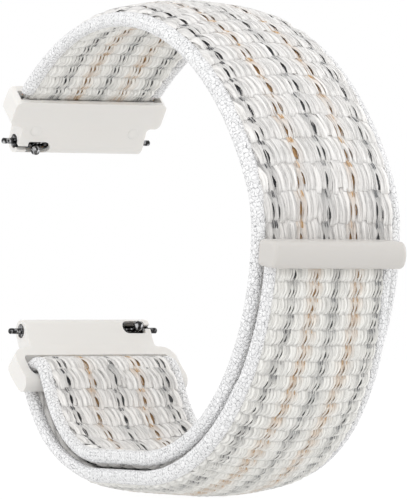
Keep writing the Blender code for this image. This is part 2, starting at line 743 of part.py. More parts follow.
def make_upper_connector(root):
    """The connector with the pocket, and the rod that anchors the strap in it."""
    plate = upper_plate()
    mouth = plate_point(plate, UPPER_MOUTH_FROM_BAR)
    bar = place(LOOP[0]) - mouth
    half = TONGUE_THICKNESS / 2
    frame_half = half + UPPER_FRAME_STEP
    pocket_width = STRAP_WIDTH + 2 * POCKET_SIDE_CLEARANCE
    frame_width = pocket_width + 2 * POCKET_SIDE_WALL
    section = along_plate(plate, 0.0, UPPER_SHOULDER_FROM_BAR, half, half)
    section += along_plate(plate, UPPER_SHOULDER_FROM_BAR, UPPER_MOUTH_FROM_BAR, frame_half, frame_half)
    section += along_plate(plate, UPPER_MOUTH_FROM_BAR, 0.0, -half, -half)
    section += half_round(plate, 0.0, half, True)
    end = mouth.dot(direction(MOUTH_HEADING))
    plan = tongue_and_frame(plate, MOUTH_HEADING, UPPER_SHOULDER_FROM_BAR, end, frame_width,
                            UPPER_FRAME_CORNER, UPPER_FRAME_CORNER)
    connector = finish_connector("upper_connector", section, frame_width + OVERRUN, plan, root, bar)
    rod = rod_place() - place(LOOP[0])
    slot = box_corners(-ROD_FROM_MOUTH, OVERRUN, -POCKET_OPENING / 2, POCKET_OPENING / 2)
    slot_mesh = outline_mesh("pocket_slot", [slot], pocket_width, MOUTH_HEADING)
    slot_cutter = cutter("upper_connector_pocket", slot_mesh, connector)
    slot_cutter.location = (mouth.x, 0.0, mouth.y)
    boolean(connector, slot_cutter, "DIFFERENCE")
    room = along_y(cylinder("eye_room", eye_radius() + EYE_CLEARANCE, pocket_width))
    room_cutter = cutter("upper_connector_room", room, connector)
    room_cutter.location = (mouth.x + rod.x, 0.0, mouth.y + rod.y)
    boolean(connector, room_cutter, "DIFFERENCE")
    cut_bar_hole(connector)
    angle = knob_angle(plate, UPPER_KNOB_LEAN)
    cut_knob_notch(connector, angle, -1, UPPER_KNOB_FROM_END)
    rod_mesh = along_y(cylinder("strap_anchor_rod", ROD_RADIUS, pocket_width - 2 * SEAT_GAP))
    anchor = link(bpy.data.objects.new("strap_anchor_rod", rod_mesh), BRIGHT_STEEL, root)
    anchor.location = (rod_place().x, 0.0, rod_place().y)
    axis = empty_at("upper_bar_axis", bar, root)
    make_spring_bar("upper_bar", axis, angle, -1, UPPER_KNOB_FROM_END)


def make_lower_connector(root):
    """The connector with the window. It swings on the strap's fold about the middle of its window bar."""
    plate = lower_plate()
    window_bar = plate_point(plate, LOWER_WINDOW_BAR_FROM_BAR)
    pivot = empty_at("lower_connector_pivot", fold_centre(), root)
    half = TONGUE_THICKNESS / 2
    reach = LOWER_WINDOW_BAR_FROM_BAR
    section = along_plate(plate, 0.0, reach, half, RAIL_END_RADIUS)
    section += half_round(plate, reach, RAIL_END_RADIUS, False)
    section += along_plate(plate, reach, 0.0, -RAIL_END_RADIUS, -half)
    section += half_round(plate, 0.0, half, True)
    window_width = STRAP_WIDTH + 2 * WINDOW_SIDE_CLEARANCE
    frame_width = window_width + 2 * WINDOW_SIDE_RAIL
    window_top = LOWER_SHOULDER_FROM_BAR + WINDOW_TOP_RAIL
    heading = plate_heading(plate, window_top)
    bar_at = window_bar.dot(direction(heading))
    end = bar_at + RAIL_END_RADIUS + OVERRUN
    plan = tongue_and_frame(plate, heading, LOWER_SHOULDER_FROM_BAR, end, frame_width,
                            LOWER_FRAME_CORNER, 0.0)
    connector = finish_connector("lower_connector", section, frame_width + OVERRUN, plan, pivot, -window_bar)
    top = plate_point(plate, window_top).dot(direction(heading))
    corners = box_corners(top, bar_at, -window_width / 2, window_width / 2)
    outline = filleted(corners, [WINDOW_CORNER, WINDOW_LOW_CORNER, WINDOW_LOW_CORNER, WINDOW_CORNER])
    window = outline_mesh("window", [outline], 2 * end, heading, flat=True)
    boolean(connector, cutter("lower_connector_window", window, connector), "DIFFERENCE")
    bar_mesh = along_y(cylinder("window_bar", WINDOW_BAR_RADIUS, window_width + 2 * WINDOW_BAR_OVERLAP))
    bar_cutter = cutter("lower_connector_window_bar", bar_mesh, connector)
    bar_cutter.location = (window_bar.x, 0.0, window_bar.y)
    boolean(connector, bar_cutter, "UNION")
    cut_bar_hole(connector)
    angle = knob_angle(plate, LOWER_KNOB_LEAN)
    cut_knob_notch(connector, angle, 1, LOWER_KNOB_FROM_END)
    axis = empty_at("lower_bar_axis", -window_bar, pivot)
    make_spring_bar("lower_bar", axis, angle, 1, LOWER_KNOB_FROM_END)


# Spring bars

def make_spring_bar(name, axis, angle, side, knob_from_end):
    """A sprung bar. Its release end points along Y when side is 1, and against Y when side is -1."""
    flange_face = TONGUE_WIDTH / 2 + FLANGE_STANDOFF
    knob = TONGUE_WIDTH / 2 - knob_from_end
    release = empty_at(name + "_release_axis", Vector((0.0, 0.0)), axis)
    make_barrel(name, axis, angle, side, flange_face, knob)
    shank = flange_face - FLANGE_THICKNESS - PIN_SHANK_GAP
    tip = LUG_WIDTH / 2 + PIN_TIP_REACH
    fixed_end = shank - FIXED_SHANK_LENGTH
    release_end = shank - RELEASE_SHANK_LENGTH
    fixed = along_y(turned_mesh(name + "_fixed_pin", pin_profile(tip, shank, fixed_end)), -side)
    link(bpy.data.objects.new(name + "_fixed_pin", fixed), BRIGHT_STEEL, axis)
    sliding = along_y(turned_mesh(name + "_release_pin", pin_profile(tip, shank, release_end)), side)
    link(bpy.data.objects.new(name + "_release_pin", sliding), BRIGHT_STEEL, release)
    make_knob(name, release, angle, side * knob)
    make_spring(name, axis, side, -fixed_end + SPRING_END_GAP, release_end - SPRING_END_GAP)


def pin_profile(tip, shank, end):
    """A pin from its chamfered tip, past the collar face of its shank, to its inner end."""
    neck = PIN_TIP_RADIUS - PIN_TIP_CHAMFER
    return [(0.0, tip), (neck, tip), (PIN_TIP_RADIUS, tip - PIN_TIP_CHAMFER), (PIN_TIP_RADIUS, shank),
            (PIN_SHANK_RADIUS, shank), (PIN_SHANK_RADIUS, end), (0.0, end)]


def make_barrel(name, axis, angle, side, face, knob):
    """The flanged tube, with a slot that the knob's stem slides in."""
    inner = face - FLANGE_THICKNESS
    hole = PIN_TIP_RADIUS + PIN_TIP_CLEARANCE
    profile = [(hole, face), (FLANGE_RADIUS, face), (FLANGE_RADIUS, inner), (BARREL_RADIUS, inner),
               (BARREL_RADIUS, -inner), (FLANGE_RADIUS, -inner), (FLANGE_RADIUS, -face), (hole, -face),
               (hole, -inner), (BARREL_BORE_RADIUS, -inner), (BARREL_BORE_RADIUS, inner), (hole, inner)]
    mesh = along_y(turned_mesh(name + "_barrel", profile))
    barrel = link(bpy.data.objects.new(name + "_barrel", mesh), DARK_STEEL, axis)
    half = KNOB_STEM_RADIUS + STEM_SLOT_CLEARANCE
    corners = box_corners(-half, half, knob - RELEASE_TRAVEL - half, knob + half)
    outline = [Vector((x, side * y)) for x, y in corners]
    slot = outline_mesh("stem_slot", [outline], OVERRUN, angle - math.pi / 2, OVERRUN / 2, flat=True)
    boolean(barrel, cutter(name + "_stem_slot", slot, barrel), "DIFFERENCE")


def make_knob(name, release, angle, y):
    """The ball-headed knob on the release pin. Its stem stands on the pin's shank."""
    foot = PIN_SHANK_RADIUS + KNOB_STEM_GAP
    join = math.asin(KNOB_STEM_RADIUS / KNOB_RADIUS)
    turns = [(math.pi - join) * step / BALL_STEPS for step in range(BALL_STEPS + 1)]
    ball = [(KNOB_RADIUS * math.sin(turn), KNOB_REACH + KNOB_RADIUS * math.cos(turn)) for turn in turns]
    mesh = turned_mesh(name + "_release_knob", ball + [(KNOB_STEM_RADIUS, foot), (0.0, foot)])
    knob = link(bpy.data.objects.new(name + "_release_knob", mesh), BRIGHT_STEEL, release)
    knob.location = (0.0, y, 0.0)
    knob.rotation_euler = (0.0, math.pi / 2 - angle, 0.0)


def make_spring(name, axis, side, start, end):
    """The coil spring between the two pins, as a curve that is then made a mesh."""
    curve = bpy.data.curves.new(name + "_spring", "CURVE")
    curve.dimensions = "3D"
    curve.bevel_depth = SPRING_WIRE_RADIUS
    curve.bevel_resolution = 2
    curve.use_fill_caps = True
    spline = curve.splines.new("POLY")
    count = SPRING_TURNS * SPRING_POINTS_PER_TURN
    first = start + SPRING_WIRE_RADIUS
    last = end - SPRING_WIRE_RADIUS
    spline.points.add(count)
    for index, point in enumerate(spline.points):
        turn = 2 * math.pi * index / SPRING_POINTS_PER_TURN
        y = side * (first + (last - first) * index / count)
        point.co = (SPRING_RADIUS * math.cos(turn), y, SPRING_RADIUS * math.sin(turn), 1.0)
    helper = bpy.data.objects.new(name + "_spring", curve)
    CUTTERS.objects.link(helper)
    bpy.context.view_layer.update()
    evaluated = helper.evaluated_get(bpy.context.evaluated_depsgraph_get())
    mesh = bpy.data.meshes.new_from_object(evaluated)
    bpy.data.objects.remove(helper, do_unlink=True)
    weld(mesh)
    mesh.shade_smooth()
    link(bpy.data.objects.new(name + "_spring", mesh), BRIGHT_STEEL, axis)


def stand_on_floor(root):
    """Move the whole object so that the origin is the bottom centre of its box."""
    bpy.context.view_layer.update()
    graph = bpy.context.evaluated_depsgraph_get()
    corners = []
    for obj in PARTS.objects:
        if obj.type == "MESH":
            evaluated = obj.evaluated_get(graph)
            corners += [evaluated.matrix_world @ Vector(corner) for corner in evaluated.bound_box]
    lows = [min(corner[axis] for corner in corners) for axis in range(3)]
    highs = [max(corner[axis] for corner in corners) for axis in range(3)]
    root.location = (-(lows[0] + highs[0]) / 2, -(lows[1] + highs[1]) / 2, -lows[2])
    bpy.context.view_layer.update()


ROOT = empty_at("strap_root", Vector((0.0, 0.0)))
make_strap_loop(ROOT)
make_strap_fold(ROOT)
make_flap(ROOT)
make_upper_connector(ROOT)
make_lower_connector(ROOT)
stand_on_floor(ROOT)
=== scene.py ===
"""Woven nylon watch strap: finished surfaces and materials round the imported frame.

The strap is one band with an outer and an inner face. Its middle line is a chain of arcs in the XZ plane,
and Y runs across it. Every woven surface is worked out from a run along that line, a place across it and a
height above it. Lengths are in metres.
"""

import math

import bmesh
import bpy
import numpy as np
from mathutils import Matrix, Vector


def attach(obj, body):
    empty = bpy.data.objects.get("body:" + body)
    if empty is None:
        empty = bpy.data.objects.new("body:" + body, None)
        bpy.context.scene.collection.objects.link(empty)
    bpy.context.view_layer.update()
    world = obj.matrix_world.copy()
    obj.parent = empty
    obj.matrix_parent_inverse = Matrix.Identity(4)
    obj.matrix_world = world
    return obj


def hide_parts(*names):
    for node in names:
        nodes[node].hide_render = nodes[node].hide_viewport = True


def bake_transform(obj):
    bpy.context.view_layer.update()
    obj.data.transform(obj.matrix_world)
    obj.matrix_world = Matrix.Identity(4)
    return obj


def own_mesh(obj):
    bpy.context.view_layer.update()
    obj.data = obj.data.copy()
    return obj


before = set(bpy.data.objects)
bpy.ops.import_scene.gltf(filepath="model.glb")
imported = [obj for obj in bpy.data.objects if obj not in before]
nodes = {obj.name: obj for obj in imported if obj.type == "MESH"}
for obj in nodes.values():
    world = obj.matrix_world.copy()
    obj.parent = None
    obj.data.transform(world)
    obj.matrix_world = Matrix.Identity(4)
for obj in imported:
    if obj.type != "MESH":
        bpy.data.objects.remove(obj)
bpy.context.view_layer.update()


# Photo table: a pale floor under the strap, white surroundings and large soft lamps from above and in front.
# The camera is at the photograph's angle, level with the strap and 30 degrees off the end cap's face.

VIEW_DIRECTION = Vector((-0.8659855, 0.4999770, 0.0095992))
CAMERA_DISTANCE = 0.7
LENS_LENGTH = 451.99
VIEW_CENTRE = Vector((-0.000114, 0.0, 0.033207))
FLOOR_LEVEL = -0.00056
FLOOR_RADIUS = 1.5
FLOOR_CORNERS = 96
FLOOR_GLOW = 1.06


def new_object(name, data):
    """An object that is linked into the scene."""
    thing = bpy.data.objects.new(name, data)
    bpy.context.scene.collection.objects.link(thing)
    return thing


def aim(thing, place, direction):
    """Put a camera or a lamp at a place, facing along a direction."""
    thing.location = place
    thing.rotation_mode = "QUATERNION"
    thing.rotation_quaternion = direction.to_track_quat("-Z", "Y")


def add_camera():
    """A long lens, so that the strap's two edges stay nearly parallel."""
    data = bpy.data.cameras.new("camera")
    data.sensor_fit = "HORIZONTAL"
    data.sensor_width = 36.0
    data.lens = LENS_LENGTH
    data.clip_start = 0.01
    camera = new_object("camera", data)
    aim(camera, VIEW_CENTRE - CAMERA_DISTANCE * VIEW_DIRECTION, VIEW_DIRECTION)
    bpy.context.scene.camera = camera


def add_lamp(name, place, size, power):
    """A square area lamp that points at the middle of the strap."""
    data = bpy.data.lights.new(name, "AREA")
    data.size = size
    data.energy = power
    aim(new_object(name, data), place, VIEW_CENTRE - Vector(place))


def new_node(tree, kind, sockets=None):
    """A node in a material's or the world's tree, with constant values on its named or numbered sockets."""
    node = tree.nodes.new(kind)
    for key, value in (sockets or {}).items():
        node.inputs[key].default_value = value
    return node


def new_math(tree, operation, *values):
    """A Math node. Each value is a constant or the output that it comes from."""
    node = new_node(tree, "ShaderNodeMath")
    node.operation = operation
    for socket, value in zip(node.inputs, values):
        if isinstance(value, float):
            socket.default_value = value
        else:
            tree.links.new(value, socket)
    return node


def white_surroundings(strength):
    """A world that lights the strap softly and that the camera, metal and glass see as plain white."""
    world = bpy.data.worlds.new("white_surroundings")
    world.use_nodes = True
    tree = world.node_tree
    tree.nodes.clear()
    ray = new_node(tree, "ShaderNodeLightPath").outputs
    light = new_node(tree, "ShaderNodeBackground", {"Color": (1.0, 1.0, 1.0, 1.0), "Strength": strength})
    seen = new_node(tree, "ShaderNodeBackground", {"Color": (1.0, 1.0, 1.0, 1.0)})
    mix = new_node(tree, "ShaderNodeMixShader")
    direct = new_math(tree, "MAXIMUM", ray["Is Camera Ray"], ray["Is Glossy Ray"])
    clear = new_math(tree, "MAXIMUM", direct.outputs[0], ray["Is Transmission Ray"])
    tree.links.new(clear.outputs[0], mix.inputs["Fac"])
    tree.links.new(light.outputs[0], mix.inputs[1])
    tree.links.new(seen.outputs[0], mix.inputs[2])
    tree.links.new(mix.outputs[0], new_node(tree, "ShaderNodeOutputWorld").inputs["Surface"])
    bpy.context.scene.world = world


def new_material(name, sockets):
    """A material, its node tree and its shader, with constant values on the shader's named sockets."""
    material = bpy.data.materials.new(name)
    material.use_nodes = True
    shader = material.node_tree.nodes["Principled BSDF"]
    for key, value in sockets.items():
        shader.inputs[key].default_value = value
    return material, material.node_tree, shader


def add_floor():
    """A round pale floor at the strap's foot, which glows a little like a light table.

    The camera sees it nearly white, with the strap's soft shadow. Other rays see about two thirds of it.
    """
    turn = np.linspace(0.0, 2 * math.pi, FLOOR_CORNERS + 1)[:-1]
    level = np.full(FLOOR_CORNERS, FLOOR_LEVEL)
    rim = np.stack([FLOOR_RADIUS * np.cos(turn), FLOOR_RADIUS * np.sin(turn), level], 1)
    mesh = bpy.data.meshes.new("floor")
    mesh.from_pydata(rim.tolist(), [], [list(range(FLOOR_CORNERS))])
    paint, tree, matt = new_material("pale_floor", {"Base Color": (0.86, 0.86, 0.86, 1.0), "Roughness": 0.9})
    ray = new_node(tree, "ShaderNodeLightPath").outputs
    share = new_math(tree, "MULTIPLY_ADD", ray["Is Camera Ray"], 0.23, 0.65)
    glow = new_node(tree, "ShaderNodeEmission", {"Strength": FLOOR_GLOW})
    mix = new_node(tree, "ShaderNodeMixShader")
    tree.links.new(share.outputs[0], mix.inputs["Fac"])
    tree.links.new(matt.outputs[0], mix.inputs[1])
    tree.links.new(glow.outputs[0], mix.inputs[2])
    tree.links.new(mix.outputs[0], tree.nodes["Material Output"].inputs["Surface"])
    mesh.materials.append(paint)
    new_object("floor", mesh)


bpy.context.scene.view_settings.view_transform = "Standard"
add_camera()
white_surroundings(0.92)
add_lamp("soft_top", (0.10, -0.10, 0.55), 0.5, 0.5)
add_lamp("soft_front", (0.45, -0.55, 0.35), 0.6, 0.5)
add_lamp("soft_low", (0.55, -0.10, 0.06), 0.4, 0.4)
add_lamp("soft_near", (-0.15, -0.60, 0.12), 0.5, 0.9)
add_lamp("soft_far", (0.20, 0.60, 0.10), 0.5, 1.5)
add_floor()


# The woven band of the loop: white nylon on two faces of ribs, with five columns of charcoal, tan and grey
# yarn that show between the white ones. It is woven in one piece with its two round edges, and its fixed end
# is closed round a rod in the upper connector's pocket.

BAND_WIDTH = 0.0226
EDGE_RADIUS = 0.00096
GROUND_HALF_WIDTH = BAND_WIDTH / 2 - EDGE_RADIUS
FIELD_HALF_WIDTH = 0.00945
LINE_START = (-0.032414, 0.055307)
LINE_HEADING = math.radians(46)
LINE_ARCS = ((0.0100, 11.0), (0.0542, 4.0), (0.0416, 93.9), (0.0136, 28.2), (0.0309, 88.9))
BASE_LENGTH = 0.0128
HEEL_ARC = (0.0149, 60.2)
WINDOW_RUN = 0.0040
FOLD_RADIUS = 0.00255
FLAP_LENGTH = 0.0784
FLAP_LAY = 0.00265
LAY_RUN = 0.0160
ARCH_HEIGHT = 0.0017
ARCH_ABOVE_CAP = 0.010
ARCH_BELOW_CAP = 0.024
ARCH_FROM_POCKET = 0.020
ARCH_FROM_WINDOW = 0.012
CAP_BACK = 0.0777
CAP_HALF_HEIGHT = 0.0018
LOW_CREST = 0.00062
LOW_VALLEY = 0.00060
GROUND_DEPTH = 0.00022
POCKET_END = -0.0006
EDGE_TUCK = 0.00050
TUCK_FROM = 0.0091
TUCK_WIDTH = 0.0008
YARN_START = -0.12
YARN_END = 1.10
GROUND_STEP = 0.0003
EDGE_STEP = 0.00025
KNIT_PITCH = 0.0009
POCKET_LIP = 0.0002
POCKET_FADE = 0.0022

WHITE_YARN = (0.895, 0.875, 0.850)
CREAM_YARN = (0.935, 0.92, 0.875)
CHARCOAL = (0.075, 0.075, 0.082)
TAN = (0.60, 0.36, 0.17)
GREY = (0.16, 0.165, 0.17)
COLUMN_COLOURS = np.array([CHARCOAL, TAN, GREY, TAN, GREY])


def line_stretches():
    """Each stretch's start run, start place, start heading and bend, worked out from the one before it."""
    arcs = [(math.radians(turn) * radius, 1.0 / radius) for radius, turn in LINE_ARCS]
    heel = (math.radians(HEEL_ARC[1]) * HEEL_ARC[0], 1.0 / HEEL_ARC[0])
    stretches = arcs + [(BASE_LENGTH, 0.0), heel, (WINDOW_RUN, 0.0)]
    run, x, z, heading = 0.0, *LINE_START, LINE_HEADING
    rows = [(-1.0, x - math.cos(heading), z - math.sin(heading), heading, 0.0)]
    for length, bend in stretches:
        rows.append((run, x, z, heading, bend))
        later = heading - bend * length
        if bend:
            x += (math.sin(heading) - math.sin(later)) / bend
            z += (math.cos(later) - math.cos(heading)) / bend
        else:
            x += length * math.cos(heading)
            z += length * math.sin(heading)
        run += length
        heading = later
    rows.append((run, x, z, heading, 0.0))
    return np.array(rows)


STRETCHES = line_stretches()
LOOP_LENGTH = STRETCHES[-1, 0]


def eased(length, full):
    """A smooth step from 0 to 1 over a length: three times the squared share less twice the cubed share."""
    share = np.clip(length / full, 0.0, 1.0)
    return share * share * (3 - 2 * share)


def loop_arch(run):
    """How far the middle of the band stands out past its edges: flat at both connectors and at the cap."""
    past = run - (LOOP_LENGTH - CAP_BACK)
    fade = np.where(past > 0.0, ARCH_BELOW_CAP, ARCH_ABOVE_CAP)
    at_cap = eased(np.abs(past) - CAP_HALF_HEIGHT, fade)
    at_ends = eased(run, ARCH_FROM_POCKET) * eased(LOOP_LENGTH - run, ARCH_FROM_WINDOW)
    return ARCH_HEIGHT * at_cap * at_ends


def loop_line(run):
    """Place, outward normal, arch, narrowing and sideways shift of the loop's middle line at each run.

    On a stretch of bend b the heading falls by b for each metre. X grows by the difference of the headings'
    sines over b and Z by the difference of their cosines over b. A straight stretch grows by its length.
    """
    which = np.clip(np.searchsorted(STRETCHES[:, 0], run, side="right") - 1, 0, len(STRETCHES) - 1)
    start, x, z, heading, bend = STRETCHES[which].transpose((-1, *range(np.ndim(run))))
    gone = run - start
    turned = heading - bend * gone
    safe = np.where(bend == 0.0, 1.0, bend)
    x = x + np.where(bend == 0.0, gone * np.cos(heading), (np.sin(heading) - np.sin(turned)) / safe)
    z = z + np.where(bend == 0.0, gone * np.sin(heading), (np.cos(turned) - np.cos(heading)) / safe)
    return x, z, -np.sin(turned), np.cos(turned), loop_arch(run), 1.0, 0.0


def on_band(line, run, across, height):
    """Points on a band: the line's place, plus its normal times the height and the arch at the place across.

    The arch is a parabola across the band, full in the middle and nothing at its edges. The place across is
    multiplied by the narrowing, and the shift is taken off.
    """
    x, z, normal_x, normal_z, arch, narrowing, shift = line(run)
    lift = height + arch * (1 - (2 * across / BAND_WIDTH) ** 2)
    place = (x + normal_x * lift, across * narrowing - shift, z + normal_z * lift)
    return np.stack(np.broadcast_arrays(*place), -1)


def new_piece(name, points, faces, material, values):
    """A mesh object from arrays of points and of four-sided faces, with named values on its points."""
    mesh = bpy.data.meshes.new(name)
    points = np.asarray(points, np.float32).reshape(-1, 3)
    faces = np.asarray(faces, np.int32).reshape(-1, 4)
    mesh.vertices.add(len(points))
    mesh.vertices.foreach_set("co", points.ravel())
    mesh.loops.add(faces.size)
    mesh.loops.foreach_set("vertex_index", faces.ravel())
    mesh.polygons.add(len(faces))
    mesh.polygons.foreach_set("loop_start", np.arange(0, faces.size, 4, dtype=np.int32))
    mesh.polygons.foreach_set("use_smooth", np.ones(len(faces), bool))
    for key, value in values.items():
        kind, field = ("FLOAT_COLOR", "color") if value.shape[-1] == 4 else ("FLOAT_VECTOR", "vector")
        attribute = mesh.attributes.new(key, kind, "POINT")
        attribute.data.foreach_set(field, np.asarray(value, np.float32).ravel())
    mesh.update(calc_edges=True)
    mesh.materials.append(material)
    return new_object(name, mesh)


def facing(points, faces, away=None):
    """The faces, turned over if they look the wrong way.

    Each face's area vector is multiplied by its direction away from the piece's inside, or by its middle
    where the piece is closed. The sum is then positive when they look out.
    """
    points, faces = np.asarray(points).reshape(-1, 3), np.asarray(faces)
    corners = points[faces]
    area = np.cross(corners[:, 2] - corners[:, 0], corners[:, 3] - corners[:, 1])
    way = corners.mean(1) if away is None else np.asarray(away).reshape(-1, 3)[faces[:, 0]]
    return faces if (area * way).sum() > 0 else faces[:, ::-1]


def grid_faces(rows, columns, count=1, closed=False):
    """Corner numbers of the faces of count grids of rows by columns. A closed grid joins its two sides."""
    last = columns if closed else columns - 1
    row, column = np.meshgrid(np.arange(rows - 1), np.arange(last), indexing="ij")
    here, later = row * columns, (row + 1) * columns
    beside = (column + 1) % columns
    one = np.stack([here + column, here + beside, later + beside, later + column], -1).reshape(-1, 4)
    return (one[None] + (np.arange(count) * rows * columns)[:, None, None]).reshape(-1, 4)


def slab(top, under):
    """Points and faces of a closed slab between two grids, with its sides and both of its ends."""
    points = np.concatenate([top, under[:, ::-1]], 1)
    rows, columns = points.shape[:2]
    first = np.arange(columns // 2 - 1)
    start = np.stack([first, columns - 1 - first, columns - 2 - first, first + 1], -1)
    end = (start + (rows - 1) * columns)[:, ::-1]
    return points, facing(points, np.concatenate([grid_faces(rows, columns, closed=True), start, end]))


def strand_swell(face, share):
    """How round a yarn is along its rib. A fine one is flat at both ends, a broad one swells to its end."""
    inside = np.clip(share, 0.0, 1.0)
    swell = eased(inside - 0.05, 0.45) * (1 - eased(inside - 0.72, 0.30)) if face.fine else inside
    return face.flat + (1.1 - face.flat) * swell


def rib_rise(face, share):
    """How high a floating yarn stands along its rib, from a sine that starts late and stops early.

    It starts tucked in under the rib before, and comes down to the next rib's yarns where it covers them.
    """
    return np.sin(math.pi * (face.swell[0] + face.swell[1] * np.maximum(share, 0.0)))


def over_ribs(face, share):
    """How high a fibre stands that crosses to the next rib or the one before: the higher of the two."""
    before = np.where(share < 0.0, rib_rise(face, share + 1), -1.0)
    beside = np.where(share > 1.0, rib_rise(face, share - 1), before)
    return np.maximum(rib_rise(face, share), beside)


def column_share(face, run, across, full, none):
    """How much of a coloured column shows here, from 1 within the full distance to 0, and its number."""
    off = across - np.interp(run, *face.centre)
    which = np.clip(np.round(off / face.spacing), -2, 2)
    past = np.abs(off - which * face.spacing)
    return np.clip((none - past) / (none - full), 0.0, 1.0), which.astype(int) + 2


class Ribs:
    """One face of ribs: where they start, how many, their pitch and yarns, and where the columns run.

    Side is the face of the band, 1 for outward. Down is 1 where the run goes down in the photo. Lean is how
    far the yarns lean at both ends of a rib. Wide is a yarn's half width in pitches, ragged how unevenly it
    starts, slit the gap that a column shows in, and reach how far from the column yarns are drawn apart.
    Round is a yarn's own height and flat its share of that at the start, swell the part of a sine that it
    rises by, and dive how deep its start is tucked in. Strands is a column's count, spread and paleness.
    """

    def __init__(self, line, first, count, pitch, side, down, lean, centre, spacing, crest, fine):
        self.line = line
        self.first = first
        self.count = count
        self.pitch = pitch
        self.side = side
        self.down = down
        self.lean = lean
        self.centre = centre
        self.spacing = spacing
        self.crest = crest
        self.colour = np.array(CREAM_YARN if fine else WHITE_YARN)
        self.fine = fine
        self.yarn_pitch = 0.00056 if fine else 0.00084
        self.wide = 0.60 if fine else 0.68
        self.ragged = 0.04 if fine else 0.06
        self.slit = 0.00015 if fine else 0.00029
        self.reach = 0.00100 if fine else 0.00095
        self.round = 0.00012 if fine else 0.00004
        self.flat = 0.15 if fine else 0.5
        self.swell = (0.12, 0.65) if fine else (0.09, 0.70)
        self.dive = 0.00008 if fine else 0.00018
        self.tint = 0.55 if fine else 0.32
        self.tint_reach = 0.0016 if fine else 0.0012
        self.strands = (4, 0.0011, 0.35) if fine else (4, 0.00051, 0.0)


def rib_run(face, row, share):
    """The run at a share of one rib, which is counted downwards in the photo."""
    start = face.first + row * face.pitch
    return np.maximum(start + face.pitch * (share if face.down > 0 else 1 - share), POCKET_END)


def side_lean(face, share):
    """Sideways place of a yarn: off by the first lean at its rib's start and by the second at its end."""
    inside = np.clip(share, 0.0, 1.0)
    return -face.lean[0] * (1 - inside) ** 2 - face.lean[1] * inside ** 2


def edge_fall(across):
    """How much lower the weave lies near the round edges, which it tucks in under."""
    return EDGE_TUCK * np.clip((np.abs(across) - TUCK_FROM) / TUCK_WIDTH, 0.0, 1.0) ** 2


def yarn_luck(face, chance):
    """Each yarn's own place across and its small random differences, one number for each row and yarn."""
    yarns = round(2 * FIELD_HALF_WIDTH / face.yarn_pitch) + 1
    spread = (face.count, yarns, 1, 1)
    row = np.arange(face.count)[:, None, None, None]
    middle = (np.arange(yarns) - (yarns - 1) / 2)[None, :, None, None]
    return {
        "row": np.broadcast_to(row, spread),
        "across": (middle + (row % 3 - 1) / 3 + chance.normal(0.0, 0.06, spread)) * face.yarn_pitch,
        "left": chance.uniform(0.7, 1.3, spread),
        "right": chance.uniform(0.7, 1.3, spread),
        "late": chance.normal(0.0, face.ragged, spread),
        "lift": chance.normal(0.0, 0.000015, spread),
        "tone": chance.normal(1.0, 0.015, spread),
        "tint": chance.uniform(0.2, 1.2, spread),
        "number": chance.uniform(0.0, 100.0, spread),
    }


def yarn_path(face, luck, share, rise):
    """A yarn's run, middle, left and right half widths and height at each share of its rib.

    Where the border to the next yarn is near a coloured column, both lower parts are drawn apart by the gap.
    Two unequal gaps push the yarn towards the smaller one by half their difference.
    """
    pitch = face.yarn_pitch
    across = luck["across"]
    run = rib_run(face, luck["row"], share + luck["late"])
    inside = np.clip(share, 0.0, 1.0)
    opening = eased(inside - 0.25, 0.35) * (1 - 0.3 * eased(inside - 0.85, 0.15))
    reach, gaps = {}, {}
    for key, way in (("left", -1), ("right", 1)):
        strength, _ = column_share(face, run, across + way * pitch / 2, 0.0, face.reach)
        gap = face.slit * strength * opening * luck[key]
        drawn = np.clip(2.2 * strength, 0.0, 1.0) * opening
        reach[key] = face.wide * pitch * (1 - drawn) + (0.5 * pitch - gap) * drawn
        gaps[key] = gap * drawn
    push = (gaps["left"] - gaps["right"]) / 2
    taper = 0.70 + 0.30 * np.sin(math.pi * np.clip(share * 0.72 + 0.18, 0.0, 1.0)) ** 0.5
    crest, valley = face.crest(run)
    height = valley + (crest - valley - face.round) * rise(face, share) + luck["lift"]
    lane = across + push + side_lean(face, share)
    return run, lane, (reach["left"] + push) * taper, (reach["right"] - push) * taper, height


def yarn_paint(face, luck, run, share, tone):
    """Yarn colour: white or cream, with the column's colour let in near the start of each rib."""
    column, which = column_share(face, run, luck["across"], 0.0003, face.tint_reach)
    inside = np.clip(share, 0.0, 1.0)
    tinted = np.clip(0.60 - inside, 0.0, 0.5) * (1 - face.tint) + face.tint * (1 - 0.6 * inside)
    tinted = (column * tinted * luck["tint"])[..., None]
    return face.colour * tone[..., None] * (1 - tinted) + (COLUMN_COLOURS[which] * 0.8 + 0.1) * tinted


def woven_piece(name, face, run, across, height, colour, thread, tubes):
    """A piece of many equal half tubes, from arrays whose last two axes go along and round each one."""
    full = np.broadcast_shapes(run.shape, across.shape, height.shape)
    run, across, height = (np.broadcast_to(value, full) for value in (run, across, height))
    points = on_band(face.line, run, across, face.side * (height - edge_fall(across)))
    paint = np.concatenate([np.broadcast_to(colour, (*full, 3)), np.ones((*full, 1))], -1)
    thread = np.stack(np.broadcast_arrays(*thread, np.zeros(full))[:3], -1)
    away = on_band(face.line, run, across, face.side * (height + 0.001)) - points
    faces = facing(points, grid_faces(full[-2], full[-1], tubes), away)
    return new_piece(name, points, faces, YARN, {"paint": paint, "thread": thread})


